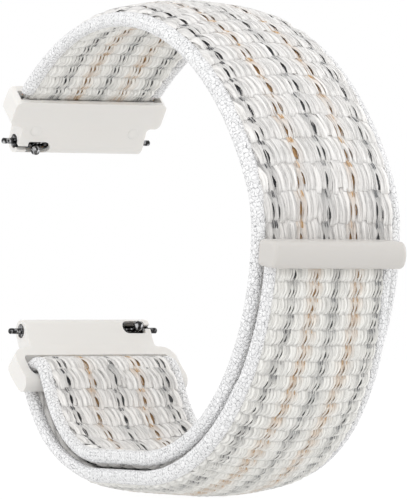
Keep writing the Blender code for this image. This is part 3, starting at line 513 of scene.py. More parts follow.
def weave_yarns(name, face, seed, hairs):
    """The white yarns that float over each rib and the next rib's start, close together, and their fibres.

    A yarn is a half tube: its width goes with the cosine and its height with the sine of an angle from 0 to
    half a turn. Its two ends run together to a point under the weave.
    """
    chance = np.random.default_rng(seed)
    luck = yarn_luck(face, chance)
    middle = np.linspace(YARN_START + 0.01, YARN_END - 0.01, 9)
    share = np.concatenate([2 * [YARN_START], middle, 2 * [YARN_END]])[None, None, :, None]
    full = np.array([0.0] + 11 * [1.0] + [0.0])[None, None, :, None]
    angle = np.linspace(0.0, math.pi, 6)[None, None, None, :]
    run, lane, left, right, height = yarn_path(face, luck, share, rib_rise)
    height = height - face.dive * np.clip(share / YARN_START, 0.0, 1.0)
    across = lane + full * np.where(np.cos(angle) > 0.0, right, left) * np.cos(angle)
    back = face.round * np.sin(angle) * strand_swell(face, share) * full - 0.00006 * (1 - full)
    thread = (share * face.pitch * 1000 + luck["number"], angle + luck["number"], luck["number"])
    colour = yarn_paint(face, luck, run, share, luck["tone"])
    pieces = [woven_piece(name, face, run, across, height + back, colour, thread, luck["across"].size)]
    if hairs:
        pieces.append(lay_fibres(name + "_fibres", face, luck, hairs, chance))
    return pieces


def lay_fibres(name, face, luck, hairs, chance):
    """Thin raised fibres, each at its own share of its yarn's width, and some astray between the yarns.

    A fibre's radius goes with a sine along it, so that it is thin at both ends.
    """
    luck = {key: np.repeat(value, hairs, 1) for key, value in luck.items()}
    spread = luck["across"].shape
    start = chance.uniform(-0.35, 0.40, spread)
    end = chance.uniform(0.65, 1.35, spread)
    along = np.linspace(0.0, 1.0, 8)[None, None, :, None]
    share = start + (end - start) * along
    run, lane, left, right, height = yarn_path(face, luck, share, over_ribs)
    place = chance.uniform(-1.05, 1.05, spread)
    middle = lane + np.where(place > 0.0, right, left) * place
    stray = chance.uniform(0.0, 1.0, spread) < 0.12
    middle = np.where(stray, luck["across"] + side_lean(face, share) + 0.5 * face.yarn_pitch * place, middle)
    middle = middle + chance.normal(0.0, 0.00004, spread) * np.sin(math.pi * along)
    radius = chance.uniform(0.03, 0.07, spread) * face.yarn_pitch * np.sin(math.pi * (0.15 + 0.70 * along))
    side = np.array([1.0, 0.0, -1.0])[None, None, None, :]
    back = face.round * np.sqrt(np.clip(1 - place ** 2, 0.05, 1.0)) * strand_swell(face, share)
    height = height + back + radius * (0.9 - 1.1 * np.abs(side))
    # Painted shadow: one fibre in five is painted darker, as shade among the fibres; each also varies a
    # little in tone at random.
    tone = np.where(chance.uniform(0.0, 1.0, spread) < 0.2, 0.80, 1.0) * chance.normal(1.0, 0.04, spread)
    colour = yarn_paint(face, luck, run, share, tone)
    thread = (share * face.pitch * 1000 + luck["number"], side + luck["number"], luck["number"])
    return woven_piece(name, face, run, middle + radius * side, height, colour, thread, luck["across"].size)


def weave_columns(name, face, radius, seed):
    """The coloured yarns of the five columns: thin half tubes that cross over each rib's start."""
    chance = np.random.default_rng(seed)
    steps = 10
    strands, spread, faded = face.strands
    each = (5, strands, 1, 1)
    place = np.arange(face.count * steps)[None, None, :, None] / steps
    share = place % 1.0
    angle = np.linspace(0.0, math.pi, 4)[None, None, None, :]
    run = face.first + face.pitch * (place if face.down > 0 else face.count - place)
    run = np.maximum(run, POCKET_END)
    column = np.arange(5)[:, None, None, None]
    centre = np.interp(run, *face.centre) + (column - 2) * face.spacing
    strand = (np.arange(strands)[None, :, None, None] / (strands - 1) - 0.5) * spread
    wave = chance.uniform(0.0, 6.28, each)
    wander = 0.9 * radius * np.sin(place * 2.1 + wave) + 0.7 * radius * np.sin(place * 5.3 + 2 * wave)
    across = centre + strand + wander + 0.6 * side_lean(face, share)
    crest, valley = face.crest(run)
    over = np.maximum(1 - eased(share - 0.20, 0.30), eased(share - 0.92, 0.08))
    rise = np.where(share > 0.5, 0.20, rib_rise(face, share) + (0.02 if faded else 0.10))
    height = valley + (crest - valley) * rise * over - 0.00014 * (1 - over) + 0.8 * radius * np.sin(angle)
    colour = COLUMN_COLOURS[column]
    pale = chance.uniform(-0.5, 0.9, each) + 0.5 * np.sin(place * 1.7 + wave) + faded
    pale = np.clip(pale, 0.0, 0.85)[..., None]
    colour = colour * (1 - pale) + face.colour * pale
    thread = (place * face.pitch * 1000, angle + wave, wave)
    return woven_piece(name, face, run, across + radius * np.cos(angle), height, colour, thread, 5 * strands)


def tone_mix(tree, factor, low, high):
    """A mix of two colours, by a factor that comes from another node."""
    mix = new_node(tree, "ShaderNodeMix")
    mix.data_type = "RGBA"
    mix.inputs["A"].default_value = low
    mix.inputs["B"].default_value = high
    tree.links.new(factor, mix.inputs["Factor"])
    return mix


def yarn_value(tree, name):
    """A node that reads one of the named values on a woven piece's points."""
    node = new_node(tree, "ShaderNodeAttribute")
    node.attribute_name = name
    return node


def fibre_material(name, roughness, streak_scale, bump):
    """Nylon fibre: the painted yarn colour, streaks along each yarn in tone and bump, and a soft sheen."""
    material, tree, shader = new_material(name, {
        "Roughness": roughness, "Specular IOR Level": 0.25, "Sheen Weight": 0.15, "Sheen Roughness": 0.5,
        "Subsurface Weight": 0.5, "Subsurface Radius": (1.0, 1.0, 1.0), "Subsurface Scale": 0.0006,
    })
    stretch = new_node(tree, "ShaderNodeMapping", {"Scale": streak_scale})
    streaks = new_node(tree, "ShaderNodeTexNoise", {"Scale": 1.0, "Detail": 3.0, "Roughness": 0.6})
    shade = new_node(tree, "ShaderNodeMapRange", {
        "From Min": 0.3, "From Max": 0.7, "To Min": 0.84, "To Max": 1.05,
    })
    tint = new_node(tree, "ShaderNodeVectorMath")
    tint.operation = "SCALE"
    dent = new_node(tree, "ShaderNodeBump", {"Strength": bump, "Distance": 0.0001})
    link = tree.links.new
    link(yarn_value(tree, "thread").outputs["Vector"], stretch.inputs["Vector"])
    link(stretch.outputs["Vector"], streaks.inputs["Vector"])
    link(streaks.outputs["Fac"], shade.inputs["Value"])
    link(yarn_value(tree, "paint").outputs["Color"], tint.inputs[0])
    link(shade.outputs["Result"], tint.inputs["Scale"])
    link(tint.outputs["Vector"], shader.inputs["Base Color"])
    link(streaks.outputs["Fac"], dent.inputs["Height"])
    link(dent.outputs["Normal"], shader.inputs["Normal"])
    return material


YARN = fibre_material("nylon_yarn", 0.70, (0.6, 3.2, 1.0), 0.25)
GROUND = fibre_material("nylon_ground", 0.75, (1.0, 1.0, 1.0), 0.2)


def edge_material():
    """The edge's knitted yarn: white loops outlined by broken grey lines, with a bump that follows them."""
    material, tree, shader = new_material("melange_edge", {"Roughness": 0.8, "Sheen Weight": 0.15})
    thread = yarn_value(tree, "thread").outputs["Vector"]
    sway = new_node(tree, "ShaderNodeTexNoise", {"Scale": 1.7, "Detail": 1.0})
    push = new_node(tree, "ShaderNodeVectorMath", {1: (0.5, 0.5, 0.5)})
    push.operation = "MULTIPLY_ADD"
    cells = new_node(tree, "ShaderNodeTexVoronoi")
    cells.feature = "DISTANCE_TO_EDGE"
    cells.inputs["Scale"].default_value = 1.8
    cells.inputs["Randomness"].default_value = 0.85
    line = new_node(tree, "ShaderNodeMapRange", {
        "From Min": 0.01, "From Max": 0.12, "To Min": 1.0, "To Max": 0.0,
    })
    patch = new_node(tree, "ShaderNodeTexNoise", {"Scale": 2.6, "Detail": 3.0})
    broken = new_node(tree, "ShaderNodeMapRange", {"From Min": 0.38, "From Max": 0.66})
    amount = new_math(tree, "MULTIPLY", line.outputs["Result"], broken.outputs["Result"])
    tone = tone_mix(tree, amount.outputs["Value"], (0.88, 0.88, 0.885, 1.0), (0.20, 0.20, 0.21, 1.0))
    dent = new_node(tree, "ShaderNodeBump", {"Strength": 1.0, "Distance": 0.0004})
    link = tree.links.new
    link(thread, sway.inputs["Vector"])
    link(sway.outputs["Color"], push.inputs[0])
    link(thread, push.inputs[2])
    link(push.outputs["Vector"], cells.inputs["Vector"])
    link(cells.outputs["Distance"], line.inputs["Value"])
    link(thread, patch.inputs["Vector"])
    link(patch.outputs["Fac"], broken.inputs["Value"])
    link(tone.outputs["Result"], shader.inputs["Base Color"])
    link(cells.outputs["Distance"], dent.inputs["Height"])
    link(dent.outputs["Normal"], shader.inputs["Normal"])
    return material


MELANGE = edge_material()


def weave_ground(name, line, low, high, outer, inner):
    """The band's body under its floating yarns: a closed slab, a little lower than the yarns on both faces.

    Outer and inner give the height and colour of the two faces at each run and place across.
    """
    run = np.linspace(low, high, int((high - low) / GROUND_STEP))[:, None]
    across = np.linspace(-GROUND_HALF_WIDTH, GROUND_HALF_WIDTH, 76)[None, :]
    top, top_paint = outer(run, across)
    bottom, bottom_paint = inner(run, across)
    points, faces = slab(on_band(line, run, across, top), on_band(line, run, across, -bottom))
    paint = np.concatenate([top_paint, bottom_paint[:, ::-1]], 1)
    paint = np.concatenate([paint, np.ones((*paint.shape[:2], 1))], -1)
    return new_piece(name, points, faces, GROUND, {"paint": paint, "thread": points * 1000})


def ground_face(face, depth=GROUND_DEPTH):
    """A function that gives a face's ground height and colour: its ribs less a depth, and its columns."""
    def at(run, across):
        share = (run - face.first) / face.pitch % 1.0
        share = share if face.down > 0 else 1 - share
        crest, valley = face.crest(run)
        height = valley + (crest - valley) * 0.6 * np.sin(math.pi * share) - edge_fall(across) - depth
        column, which = column_share(face, run, across, 0.0006, 0.0011)
        colour = face.colour * 0.94 * (1 - column[..., None]) + COLUMN_COLOURS[which] * column[..., None]
        return height, np.broadcast_to(colour, (len(run), across.size, 3))
    return at


def knit_edges(name, line, low, high, section, seed):
    """The two round edges of a band: tubes along its sides, closed at both ends, a little uneven in radius.

    Section gives the tube's height over the line and its half height at each run.
    """
    run = np.linspace(low, high, int((high - low) / EDGE_STEP))
    turn = np.linspace(0.0, 2 * math.pi, 25)[:-1]
    points, threads = [], []
    chance = np.random.default_rng(seed)
    for side in (-1, 1):
        lumps = np.sin(run[:, None] * 2 * math.pi / KNIT_PITCH + 2 * turn[None, :]) * 0.03
        size = 1 + lumps + chance.normal(0.0, 0.01, lumps.shape)
        size[[0, -1]] = 0.0
        along = np.broadcast_to(run[:, None], size.shape).copy()
        along[0] = along[1]
        along[-1] = along[-2]
        lift, half_height = section(along)
        across = side * (GROUND_HALF_WIDTH + size * EDGE_RADIUS * np.cos(turn))
        points.append(on_band(line, along, across, lift + size * half_height * np.sin(turn)))
        around = np.minimum(turn, 2 * math.pi - turn)[None, :] * EDGE_RADIUS
        threads.append(np.stack(np.broadcast_arrays(along * 1000, around * 1000 + 20 * side, 0 * along), -1))
    one = grid_faces(len(run), len(turn), closed=True)
    points = np.concatenate(points)
    faces = facing(points, np.concatenate([one[:, ::-1], one + len(run) * len(turn)]))
    return new_piece(name, points, faces, MELANGE, {"thread": np.concatenate(threads)})


def loop_crest(run, crest, valley):
    """Crest and valley of ribs that lie low where the band enters the pocket and are full just past it."""
    fade = eased(run - POCKET_LIP, POCKET_FADE)
    return LOW_CREST + (crest - LOW_CREST) * fade, LOW_VALLEY + (valley - LOW_VALLEY) * fade


def outer_crest(run):
    """Crest and valley of the loop's outer ribs, which are pressed down a little under the flap."""
    pressed = eased(run - (LOOP_LENGTH - FLAP_LENGTH - 0.0035), 0.0020)
    return loop_crest(run, 0.00142 - 0.0002 * pressed, 0.00095)


def inner_crest(run):
    """Crest and valley of the loop's broad inner ribs."""
    return loop_crest(run, 0.00135, 0.00090)


def fine_crest(run):
    """Crest and valley of the loop's fine inner ribs."""
    return loop_crest(run, 0.00116, 0.00090)


OUTER_START = -0.00249
OUTER_ROWS = 46
FINE_PITCH = 0.00265
FINE_ROWS = 38
FACE_CHANGE = FINE_PITCH * FINE_ROWS
BROAD_ROWS = 21
BROAD_SPACING = 0.00395
BROAD_LEAN = (0.0007, 0.0)
FINE_LEAN = (0.0005, 0.0006)

outer_ribs = Ribs(loop_line, OUTER_START, OUTER_ROWS, (LOOP_LENGTH - OUTER_START) / OUTER_ROWS, 1, 1,
                  (0.0006, 0.0), ((0.0,), (-0.00045,)), 0.00397, outer_crest, False)
fine_inner = Ribs(loop_line, 0.0, FINE_ROWS, FINE_PITCH, -1, 1,
                  FINE_LEAN, ((0.0,), (0.0010,)), 0.00345, fine_crest, True)
broad_inner = Ribs(loop_line, FACE_CHANGE, BROAD_ROWS, (LOOP_LENGTH - FACE_CHANGE) / BROAD_ROWS, -1, -1,
                   BROAD_LEAN, ((0.0,), (0.0001,)), BROAD_SPACING, inner_crest, False)


def inner_ground(run, across):
    """Fine ribs up to the change of face, and broad ones from there to the window."""
    fine_height, fine_paint = ground_face(fine_inner)(run, across)
    broad_height, broad_paint = ground_face(broad_inner)(run, across)
    past = run > FACE_CHANGE
    return np.where(past, broad_height, fine_height), np.where(past[..., None], broad_paint, fine_paint)


def loop_edge(run):
    """Height and half height of the loop's round edge, which is thinner where the band enters the pocket."""
    return 0.0, LOW_VALLEY + (EDGE_RADIUS - LOW_VALLEY) * eased(run, POCKET_FADE)


loop_ground = weave_ground("loop_ground", loop_line, -0.0004, LOOP_LENGTH, ground_face(outer_ribs),
                           inner_ground)
loop_yarns = weave_yarns("loop_outer_yarns", outer_ribs, 11, 6)
loop_yarns += weave_yarns("loop_fine_yarns", fine_inner, 12, 3)
loop_yarns += weave_yarns("loop_broad_yarns", broad_inner, 13, 5)
loop_columns = [weave_columns("loop_outer_columns", outer_ribs, 0.00009, 17),
                weave_columns("loop_fine_columns", fine_inner, 0.00006, 18),
                weave_columns("loop_broad_columns", broad_inner, 0.00008, 19)]
loop_edges = knit_edges("loop_edges", loop_line, 0.0004, LOOP_LENGTH + 0.0005, loop_edge, 14)
for piece in (loop_ground, loop_edges, *loop_yarns, *loop_columns):
    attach(piece, "strap")
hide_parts("strap_loop")


# The fold and the flap: past the window the same band turns round the connector's bar and comes back outside
# the loop, with fine cream ribs on its outward face. The flap's tip is narrower.

TIP_NARROWING = 0.0190 / 0.0222
TIP_SHIFT = 0.0011
NARROWING_START = 0.0420
NARROWING_END = 0.0722
TIP_START = 0.0600
FLAP_CUT = 0.05126
LOW_BEND = (0.0350, 0.0490)
TIP_BEND = (0.0585, 0.0680)
FLAP_PITCH = 0.00195
UNDER_PITCH = 0.0036
CAP_GRIP = 0.0025
FLAP_COLUMNS = ((0.048, 0.054, 0.061, 0.071), (-0.0001, -0.0002, 0.00055, 0.00135))
FOLD_LENGTH = math.pi * FOLD_RADIUS


def fold_line(run):
    """The middle line of the half turn round the bar: a circle about a centre outside the loop's end."""
    x, z, normal_x, normal_z = loop_line(np.full_like(run, LOOP_LENGTH))[:4]
    turned = np.arctan2(normal_z, normal_x) + run / FOLD_RADIUS
    x = x + FOLD_RADIUS * (normal_x - np.cos(turned))
    z = z + FOLD_RADIUS * (normal_z - np.sin(turned))
    return x, z, np.cos(turned), np.sin(turned), 0.0 * run, 1.0, 0.0


def flap_place(back):
    """Places on the flap's line, off the loop's line by twice the fold's radius and less where it lies."""
    x, z, normal_x, normal_z, arch = loop_line(LOOP_LENGTH - back)[:5]
    off = 2 * FOLD_RADIUS + (FLAP_LAY - 2 * FOLD_RADIUS) * eased(back, LAY_RUN)
    return x + normal_x * off, z + normal_z * off, arch


def flap_line(back):
    """The flap's middle line. Its normals are at right angles to the step between two places beside each.

    The flap narrows and shifts in step with its height between two marks.
    """
    x, z, arch = flap_place(back)
    after_x, after_z, _ = flap_place(back + 0.0002)
    before_x, before_z, _ = flap_place(np.maximum(back - 0.0002, 0.0))
    along_x, along_z = after_x - before_x, after_z - before_z
    length = np.hypot(along_x, along_z)
    low, high = (flap_place(np.array(mark))[1] for mark in (NARROWING_START, NARROWING_END))
    share = np.where(back > 0.02, np.clip((z - low) / (high - low), 0.0, 1.0), 0.0)
    narrowing = 1 + (TIP_NARROWING - 1) * share
    return x, z, along_z / length, -along_x / length, arch, narrowing, TIP_SHIFT * share


def behind_tape(back, fade):
    """How far the flap has gone over to its thin tip, which the hook tape is sewn behind."""
    return eased(back - TIP_START + 0.0005, fade)


def flap_crest(back):
    """Crest and valley of the flap's outward ribs, which are pressed flat inside the end cap."""
    fade = eased(FLAP_LENGTH - CAP_GRIP - back, 0.0012)
    return 0.00106 + 0.00018 * fade, 0.00094 + 0.0 * back


def flap_under_crest(back):
    """Crest and valley of the flap's inner face, which is thinner behind the hook tape."""
    thin = behind_tape(back, 0.0015)
    return 0.00112 - 0.00050 * thin, 0.00095 - 0.00035 * thin


def fold_crest(run):
    """Crest and valley on the fold's outside."""
    return 0.00105 + 0.0 * run, 0.00085 + 0.0 * run


def fold_under(run, across):
    """The fold's inner side: plain white ground that lies on the bar."""
    height = 0.00095 + 0.0 * run + 0.0 * across
    return height, np.broadcast_to(np.array(WHITE_YARN) * 0.85, (*height.shape, 3))


def flap_edge(back):
    """Height and half height of the flap's round edge, which is thinner and lifted at the thin tip."""
    thin = behind_tape(back, 0.0020)
    return 0.00019 * thin, EDGE_RADIUS - 0.00017 * thin


def fold_edge(run):
    """Height and half height of the fold's round edge."""
    return 0.0, EDGE_RADIUS


def bend_pieces(pieces, bend):
    """Bake the pieces' placing into their meshes. The flap's places at both ends of the bend are worked out,
    and nothing uses them.
    """
    (start_x, start_z, _), (end_x, end_z, _) = (flap_place(np.array(back)) for back in bend)
    for piece in pieces:
        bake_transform(piece)


def weave_flap(label, low, high, bend):
    """One stretch of flap: its ground, yarns, columns and edges, with their placing baked into their meshes.
    """
    length = high - low
    count = round(length / FLAP_PITCH)
    top = Ribs(flap_line, low, count, length / count, 1, -1, FINE_LEAN, FLAP_COLUMNS, 0.0038,
               flap_crest, True)
    count = round(length / UNDER_PITCH)
    under = Ribs(flap_line, low, count, length / count, -1, -1, (0.0006, 0.0), ((0.0,), (0.0,)),
                 BROAD_SPACING, flap_under_crest, False)
    edge_end = min(high + 0.0003, FLAP_LENGTH)
    pieces = [
        weave_ground(label + "_ground", flap_line, low, high,
                     ground_face(top, 0.00018), ground_face(under, 0.00015)),
        *weave_yarns(label + "_fine_yarns", top, 21, 4),
        *weave_yarns(label + "_inner_yarns", under, 22, 0),
        weave_columns(label + "_fine_columns", top, 0.00006, 24),
        weave_columns(label + "_inner_columns", under, 0.00008, 25),
        knit_edges(label + "_edges", flap_line, low - 0.0003, edge_end, flap_edge, 23),
    ]
    bend_pieces(pieces, bend)
    return pieces


fold_ribs = Ribs(fold_line, 0.0, 3, FOLD_LENGTH / 3, -1, -1, BROAD_LEAN, ((0.0,), (0.0001,)), BROAD_SPACING,
                 fold_crest, False)
fold_ground = weave_ground("fold_ground", fold_line, 0.0, FOLD_LENGTH, fold_under, ground_face(fold_ribs))
fold_yarns = weave_yarns("fold_yarns", fold_ribs, 15, 3)
fold_columns = weave_columns("fold_columns", fold_ribs, 0.00008, 20)
fold_edges = knit_edges("fold_edges", fold_line, -0.0004, FOLD_LENGTH + 0.0004, fold_edge, 16)
for piece in (fold_ground, *fold_yarns, fold_columns, fold_edges):
    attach(piece, "strap")
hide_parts("strap_fold")
low_flap = weave_flap("low_flap", 0.0, FLAP_CUT, LOW_BEND)
high_flap = weave_flap("high_flap", FLAP_CUT, FLAP_LENGTH, TIP_BEND)
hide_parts("flap_lower", "flap_middle")
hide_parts("flap_tip")


# The hook tape and the strap's eye: a strip of small nylon hooks is sewn behind the flap's tip and grips the
# loop's fuzzy face. The loop's fixed end is sewn to an eye round the anchor rod, inside the upper pocket.

TAPE_ROOF = 0.00062
TAPE_FLOOR = 0.00088
TAPE_RUN = (0.0603, 0.0738)
TAPE_HALF_WIDTH = 0.0101
HOOK_RUN = (0.0607, 0.0732)
HOOK_HALF_WIDTH = 0.0098
HOOK_RADIUS = 0.00022
HOOK_ANGLES = np.array([0.0, 0.0, 0.7, 1.4, 2.1, 2.8, 3.4, 3.4])[:, None]
HOOK_SIZES = np.array([0.0, 1.0, 1.0, 1.0, 1.0, 1.0, 1.0, 0.0])[:, None]
ROD_PLACE = (-0.033732, 0.053938)
EYE_RADII = np.array([0.00040, 0.00040, 0.00092, 0.00096, 0.00092, 0.00040])
EYE_SIDES = np.array([0.0, 0.0109, 0.0109, 0.0, -0.0109, -0.0109])


def hook_surface():
    """The tape's base: a closed slab under the flap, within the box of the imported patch."""
    back = np.linspace(*TAPE_RUN, 46)[:, None]
    across = np.linspace(-TAPE_HALF_WIDTH, TAPE_HALF_WIDTH, 24)[None, :]
    return slab(on_band(flap_line, back, across, -TAPE_ROOF), on_band(flap_line, back, across, -TAPE_FLOOR))


def hook_loops():
    """Rows of small hooks on the tape. Each is a thin closed strip bent along a circle.

    A point of a hook lies at its circle's angle, from straight out of the tape to past the top.
    """
    sides = np.linspace(-HOOK_HALF_WIDTH, HOOK_HALF_WIDTH, 33)
    back, across = np.meshgrid(np.linspace(*HOOK_RUN, 26), sides, indexing="ij")
    across = across + 0.00014 * (np.arange(26) % 2)[:, None]
    turn = np.linspace(0.0, 2 * math.pi, 5)[None, :-1]
    radius = HOOK_RADIUS + 0.00003 * HOOK_SIZES * np.sin(turn)
    full = (*back.shape, 8, 4)
    run = np.broadcast_to(back[..., None, None] + HOOK_RADIUS - radius * np.cos(HOOK_ANGLES), full)
    place = np.broadcast_to(across[..., None, None] + 0.00007 * HOOK_SIZES * np.cos(turn), full)
    depth = np.broadcast_to(-(TAPE_FLOOR + 0.00004 + radius * np.sin(HOOK_ANGLES)), full)
    points = on_band(flap_line, run, place, depth)
    return points, facing(points, grid_faces(8, 4, back.size, closed=True))


def hook_plastic():
    """Pale translucent nylon of the hooks and their tape."""
    material, tree, shader = new_material("hook_nylon", {
        "Roughness": 0.45, "Subsurface Weight": 0.4, "Subsurface Scale": 0.0005,
    })
    mottle = new_node(tree, "ShaderNodeTexNoise", {"Scale": 2500.0})
    tree.links.new(new_node(tree, "ShaderNodeTexCoord").outputs["Object"], mottle.inputs["Vector"])
    tone = tone_mix(tree, mottle.outputs["Fac"], (0.74, 0.74, 0.72, 1.0), (0.86, 0.86, 0.84, 1.0))
    tree.links.new(tone.outputs["Result"], shader.inputs["Base Color"])
    return material


def strap_eye():
    """The eye: a ring of webbing round the rod, closed across its width, with a lens-shaped section.

    Points lie on circles round the rod, at the section's radii and places across.
    """
    turn = np.linspace(0.0, 2 * math.pi, 33)[:-1][:, None]
    x = ROD_PLACE[0] + EYE_RADII * np.cos(turn)
    z = ROD_PLACE[1] + EYE_RADII * np.sin(turn)
    points = np.stack(np.broadcast_arrays(x, EYE_SIDES, z), -1)
    ring, corner = np.meshgrid(np.arange(32), np.arange(6), indexing="ij")
    later, beside = (ring + 1) % 32, (corner + 1) % 6
    faces = np.stack([ring * 6 + corner, ring * 6 + beside, later * 6 + beside, later * 6 + corner], -1)
    paint = np.broadcast_to(np.array([*WHITE_YARN, 1.0]), (*points.shape[:2], 4))
    faces = facing(points, faces.reshape(-1, 4))
    return new_piece("strap_eye", points, faces, GROUND, {"paint": paint, "thread": points * 1000})


HOOK_NYLON = hook_plastic()
tape = new_piece("hook_tape", *hook_surface(), HOOK_NYLON, {})
hooks = new_piece("hook_rows", *hook_loops(), HOOK_NYLON, {})
bend_pieces((tape, hooks), TIP_BEND)
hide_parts("hook_patch")
eye = strap_eye()
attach(eye, "strap")


# The moulded pieces: both connectors and the end cap are injection-moulded in a warm off-white plastic with
# a fine satin grain; the cap's copy of that plastic is painted darker, as painted shade on its face. The
# connectors are their imported shapes with rounded edges, and the cap is a bar with round corners and a
# bulging face, within its packed box.

MERGE_DISTANCE = 0.000002
EDGE_ROUNDING = 0.00012
FLAT_ANGLE = math.radians(0.5)
SHARP_ANGLE = 0.5
SOFT_COSINE = 0.766
CAP_ROUNDING = 0.0006
CAP_CORNER = 0.0007
CAP_BULGE = 0.00055
CAP_OUT = np.array([0.99432, 0.0, -0.10640])
CAP_UP = np.array([0.10640, 0.0, 0.99432])
MARK_RADIUS = 0.00085
MARK_OUT = np.array([0.8856, 0.0, -0.4645])
MARK_ALONG = np.array([0.4645, 0.0, 0.8856])
MARK_ACROSS = np.array([0.0, 1.0, 0.0])
MARK_SIZES = np.array([1.0, 0.97, 0.90, 0.45, 0.0])[:, None]
MARK_HEIGHTS = np.array([-0.00002, 0.000015, 0.00003, 0.00003, 0.00003])[:, None, None]


def moulded_plastic(name, colour):
    """Warm off-white plastic: a satin shine that a fine grain varies, and a faint bump of the same grain."""
    material, tree, shader = new_material(name, {
        "Base Color": colour, "Subsurface Weight": 0.25, "Subsurface Radius": (1.0, 0.9, 0.8),
        "Subsurface Scale": 0.0006,
    })
    grain = new_node(tree, "ShaderNodeTexNoise", {"Scale": 5500.0, "Detail": 2.0})
    satin = new_node(tree, "ShaderNodeMapRange", {"To Min": 0.32, "To Max": 0.50})
    dent = new_node(tree, "ShaderNodeBump", {"Strength": 0.25, "Distance": 0.00001})
    tree.links.new(new_node(tree, "ShaderNodeTexCoord").outputs["Object"], grain.inputs["Vector"])
    tree.links.new(grain.outputs["Fac"], satin.inputs["Value"])
    tree.links.new(satin.outputs["Result"], shader.inputs["Roughness"])
    tree.links.new(grain.outputs["Fac"], dent.inputs["Height"])
    tree.links.new(dent.outputs["Normal"], shader.inputs["Normal"])
    return material


def merged_form(node):
    """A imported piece's mesh, with the corners of its loose triangles merged."""
    form = bmesh.new()
    form.from_mesh(nodes[node].data)
    form.transform(nodes[node].matrix_world)
    bmesh.ops.remove_doubles(form, verts=form.verts, dist=MERGE_DISTANCE)
    return form


def form_piece(form, name, material):
    """An object in the scene from an edited mesh, in one material."""
    mesh = bpy.data.meshes.new(name)
    form.to_mesh(mesh)
    form.free()
    mesh.materials.append(material)
    return new_object(name, mesh)


def smooth_copy(node, material):
    """A node's mesh with rounded outer edges, and normals that turn softly across small bevels.

    A corner's normal is the sum of the normals of the faces round its point that lean less than 40 degrees
    from its own face, each times its area.
    """
    form = merged_form(node)
    bmesh.ops.dissolve_limit(form, angle_limit=FLAT_ANGLE, verts=form.verts, edges=form.edges)
    sharp = [edge for edge in form.edges if edge.is_manifold and edge.calc_face_angle_signed() > SHARP_ANGLE]
    bmesh.ops.bevel(form, geom=sharp, offset=EDGE_ROUNDING, offset_type="OFFSET", segments=2, profile=0.5,
                    affect="EDGES", clamp_overlap=True)
    form.normal_update()
    normals = []
    for face in form.faces:
        face.smooth = True
        for vertex in face.verts:
            near = [other for other in vertex.link_faces if other.normal.dot(face.normal) > SOFT_COSINE]
            total = sum((other.normal * other.calc_area() for other in near), Vector())
            normals.append((total if total.length else face.normal).normalized())
    piece = form_piece(form, node + "_moulded", material)
    piece.data.normals_split_custom_set(normals)
    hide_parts(node)
    return piece


def moulding_mark(name, centre, material):
    """A faint round mark that an ejector pin leaves on the connector's inner face: a disc with a soft rim.

    Each ring of points has its share of the mark's radius and its height over the face. A point's places
    along the face and across it are the cosine and the sine of its angle, times its ring's radius.
    """
    turn = np.linspace(0.0, 2 * math.pi, 33)[:-1]
    along = (MARK_SIZES * MARK_RADIUS * np.cos(turn))[..., None]
    across = (MARK_SIZES * MARK_RADIUS * np.sin(turn))[..., None]
    points = np.array(centre) + MARK_OUT * MARK_HEIGHTS + MARK_ALONG * along + MARK_ACROSS * across
    faces = grid_faces(*points.shape[:2], closed=True)
    return new_piece(name, points, facing(points, faces, points * 0 + MARK_OUT), material, {})


def bar_section(half_depth, half_height, corner):
    """The end cap's section: a rectangle with round corners, whose outward side bulges as a parabola."""
    turn = np.linspace(0.0, math.pi / 2, 7)
    quarter = np.stack([corner * (np.cos(turn) - 1), corner * (np.sin(turn) - 1)], -1)
    quarters = [np.array([half_depth, half_height]) + quarter]
    for mirror in ([-1, 1], [1, -1], [-1, 1]):
        quarters.append(quarters[-1][::-1] * mirror)
    outline = []
    for index, part in enumerate(quarters):
        ahead = quarters[(index + 1) % 4][0]
        outline += [part, part[-1] + (ahead - part[-1]) * np.linspace(0.0, 1.0, 8)[1:-1, None]]
    out, up = np.concatenate(outline).T
    bulge = CAP_BULGE * (up / half_height) ** 2 * np.maximum(out / half_depth, 0.0)
    return np.stack([out - bulge, up], -1)


def rounded_cap(material):
    """The end cap: its section carried along its length, drawn in at both ends along a quarter circle.

    At a distance from the end that is less than the rounding, the section is smaller all round by the
    rounding less the circle's height there. Both ends close to a point.
    """
    node = nodes["end_cap"]
    corners = np.array([node.matrix_world @ vertex.co for vertex in node.data.vertices])
    depth, height = (corners @ axis for axis in (CAP_OUT, CAP_UP))
    sizes = [(depth.max() - depth.min()) / 2, (height.max() - height.min()) / 2]
    middle = CAP_OUT * (depth.max() + depth.min()) / 2 + CAP_UP * (height.max() + height.min()) / 2
    low, high = corners[:, 1].min(), corners[:, 1].max()
    turn = np.linspace(0.0, math.pi / 2, 8)
    ends = [(CAP_ROUNDING * (1 - math.cos(angle)), CAP_ROUNDING * (1 - math.sin(angle))) for angle in turn]
    stations = [(low, 0.0)] + [(low + off, inset) for off, inset in ends]
    stations += [(low + (high - low) * share, 0.0) for share in np.linspace(0.0, 1.0, 12)[1:-1]]
    stations += [(high - off, inset) for off, inset in ends[::-1]] + [(high, 0.0)]
    rings = []
    for place, inset in stations:
        section = bar_section(sizes[0] - inset, sizes[1] - inset, CAP_CORNER - 0.8 * inset)
        rings.append(middle + section[:, :1] * CAP_OUT + section[:, 1:] * CAP_UP + [0.0, place, 0.0])
    for ring, place in ((0, low), (-1, high)):
        rings[ring] = np.broadcast_to(middle + [0.0, place, 0.0], rings[ring].shape)
    points = np.stack(rings)
    faces = facing(points, grid_faces(len(points), points.shape[1], closed=True))
    cap = new_piece("end_cap_moulded", points, faces, material, {})
    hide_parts("end_cap")
    return cap


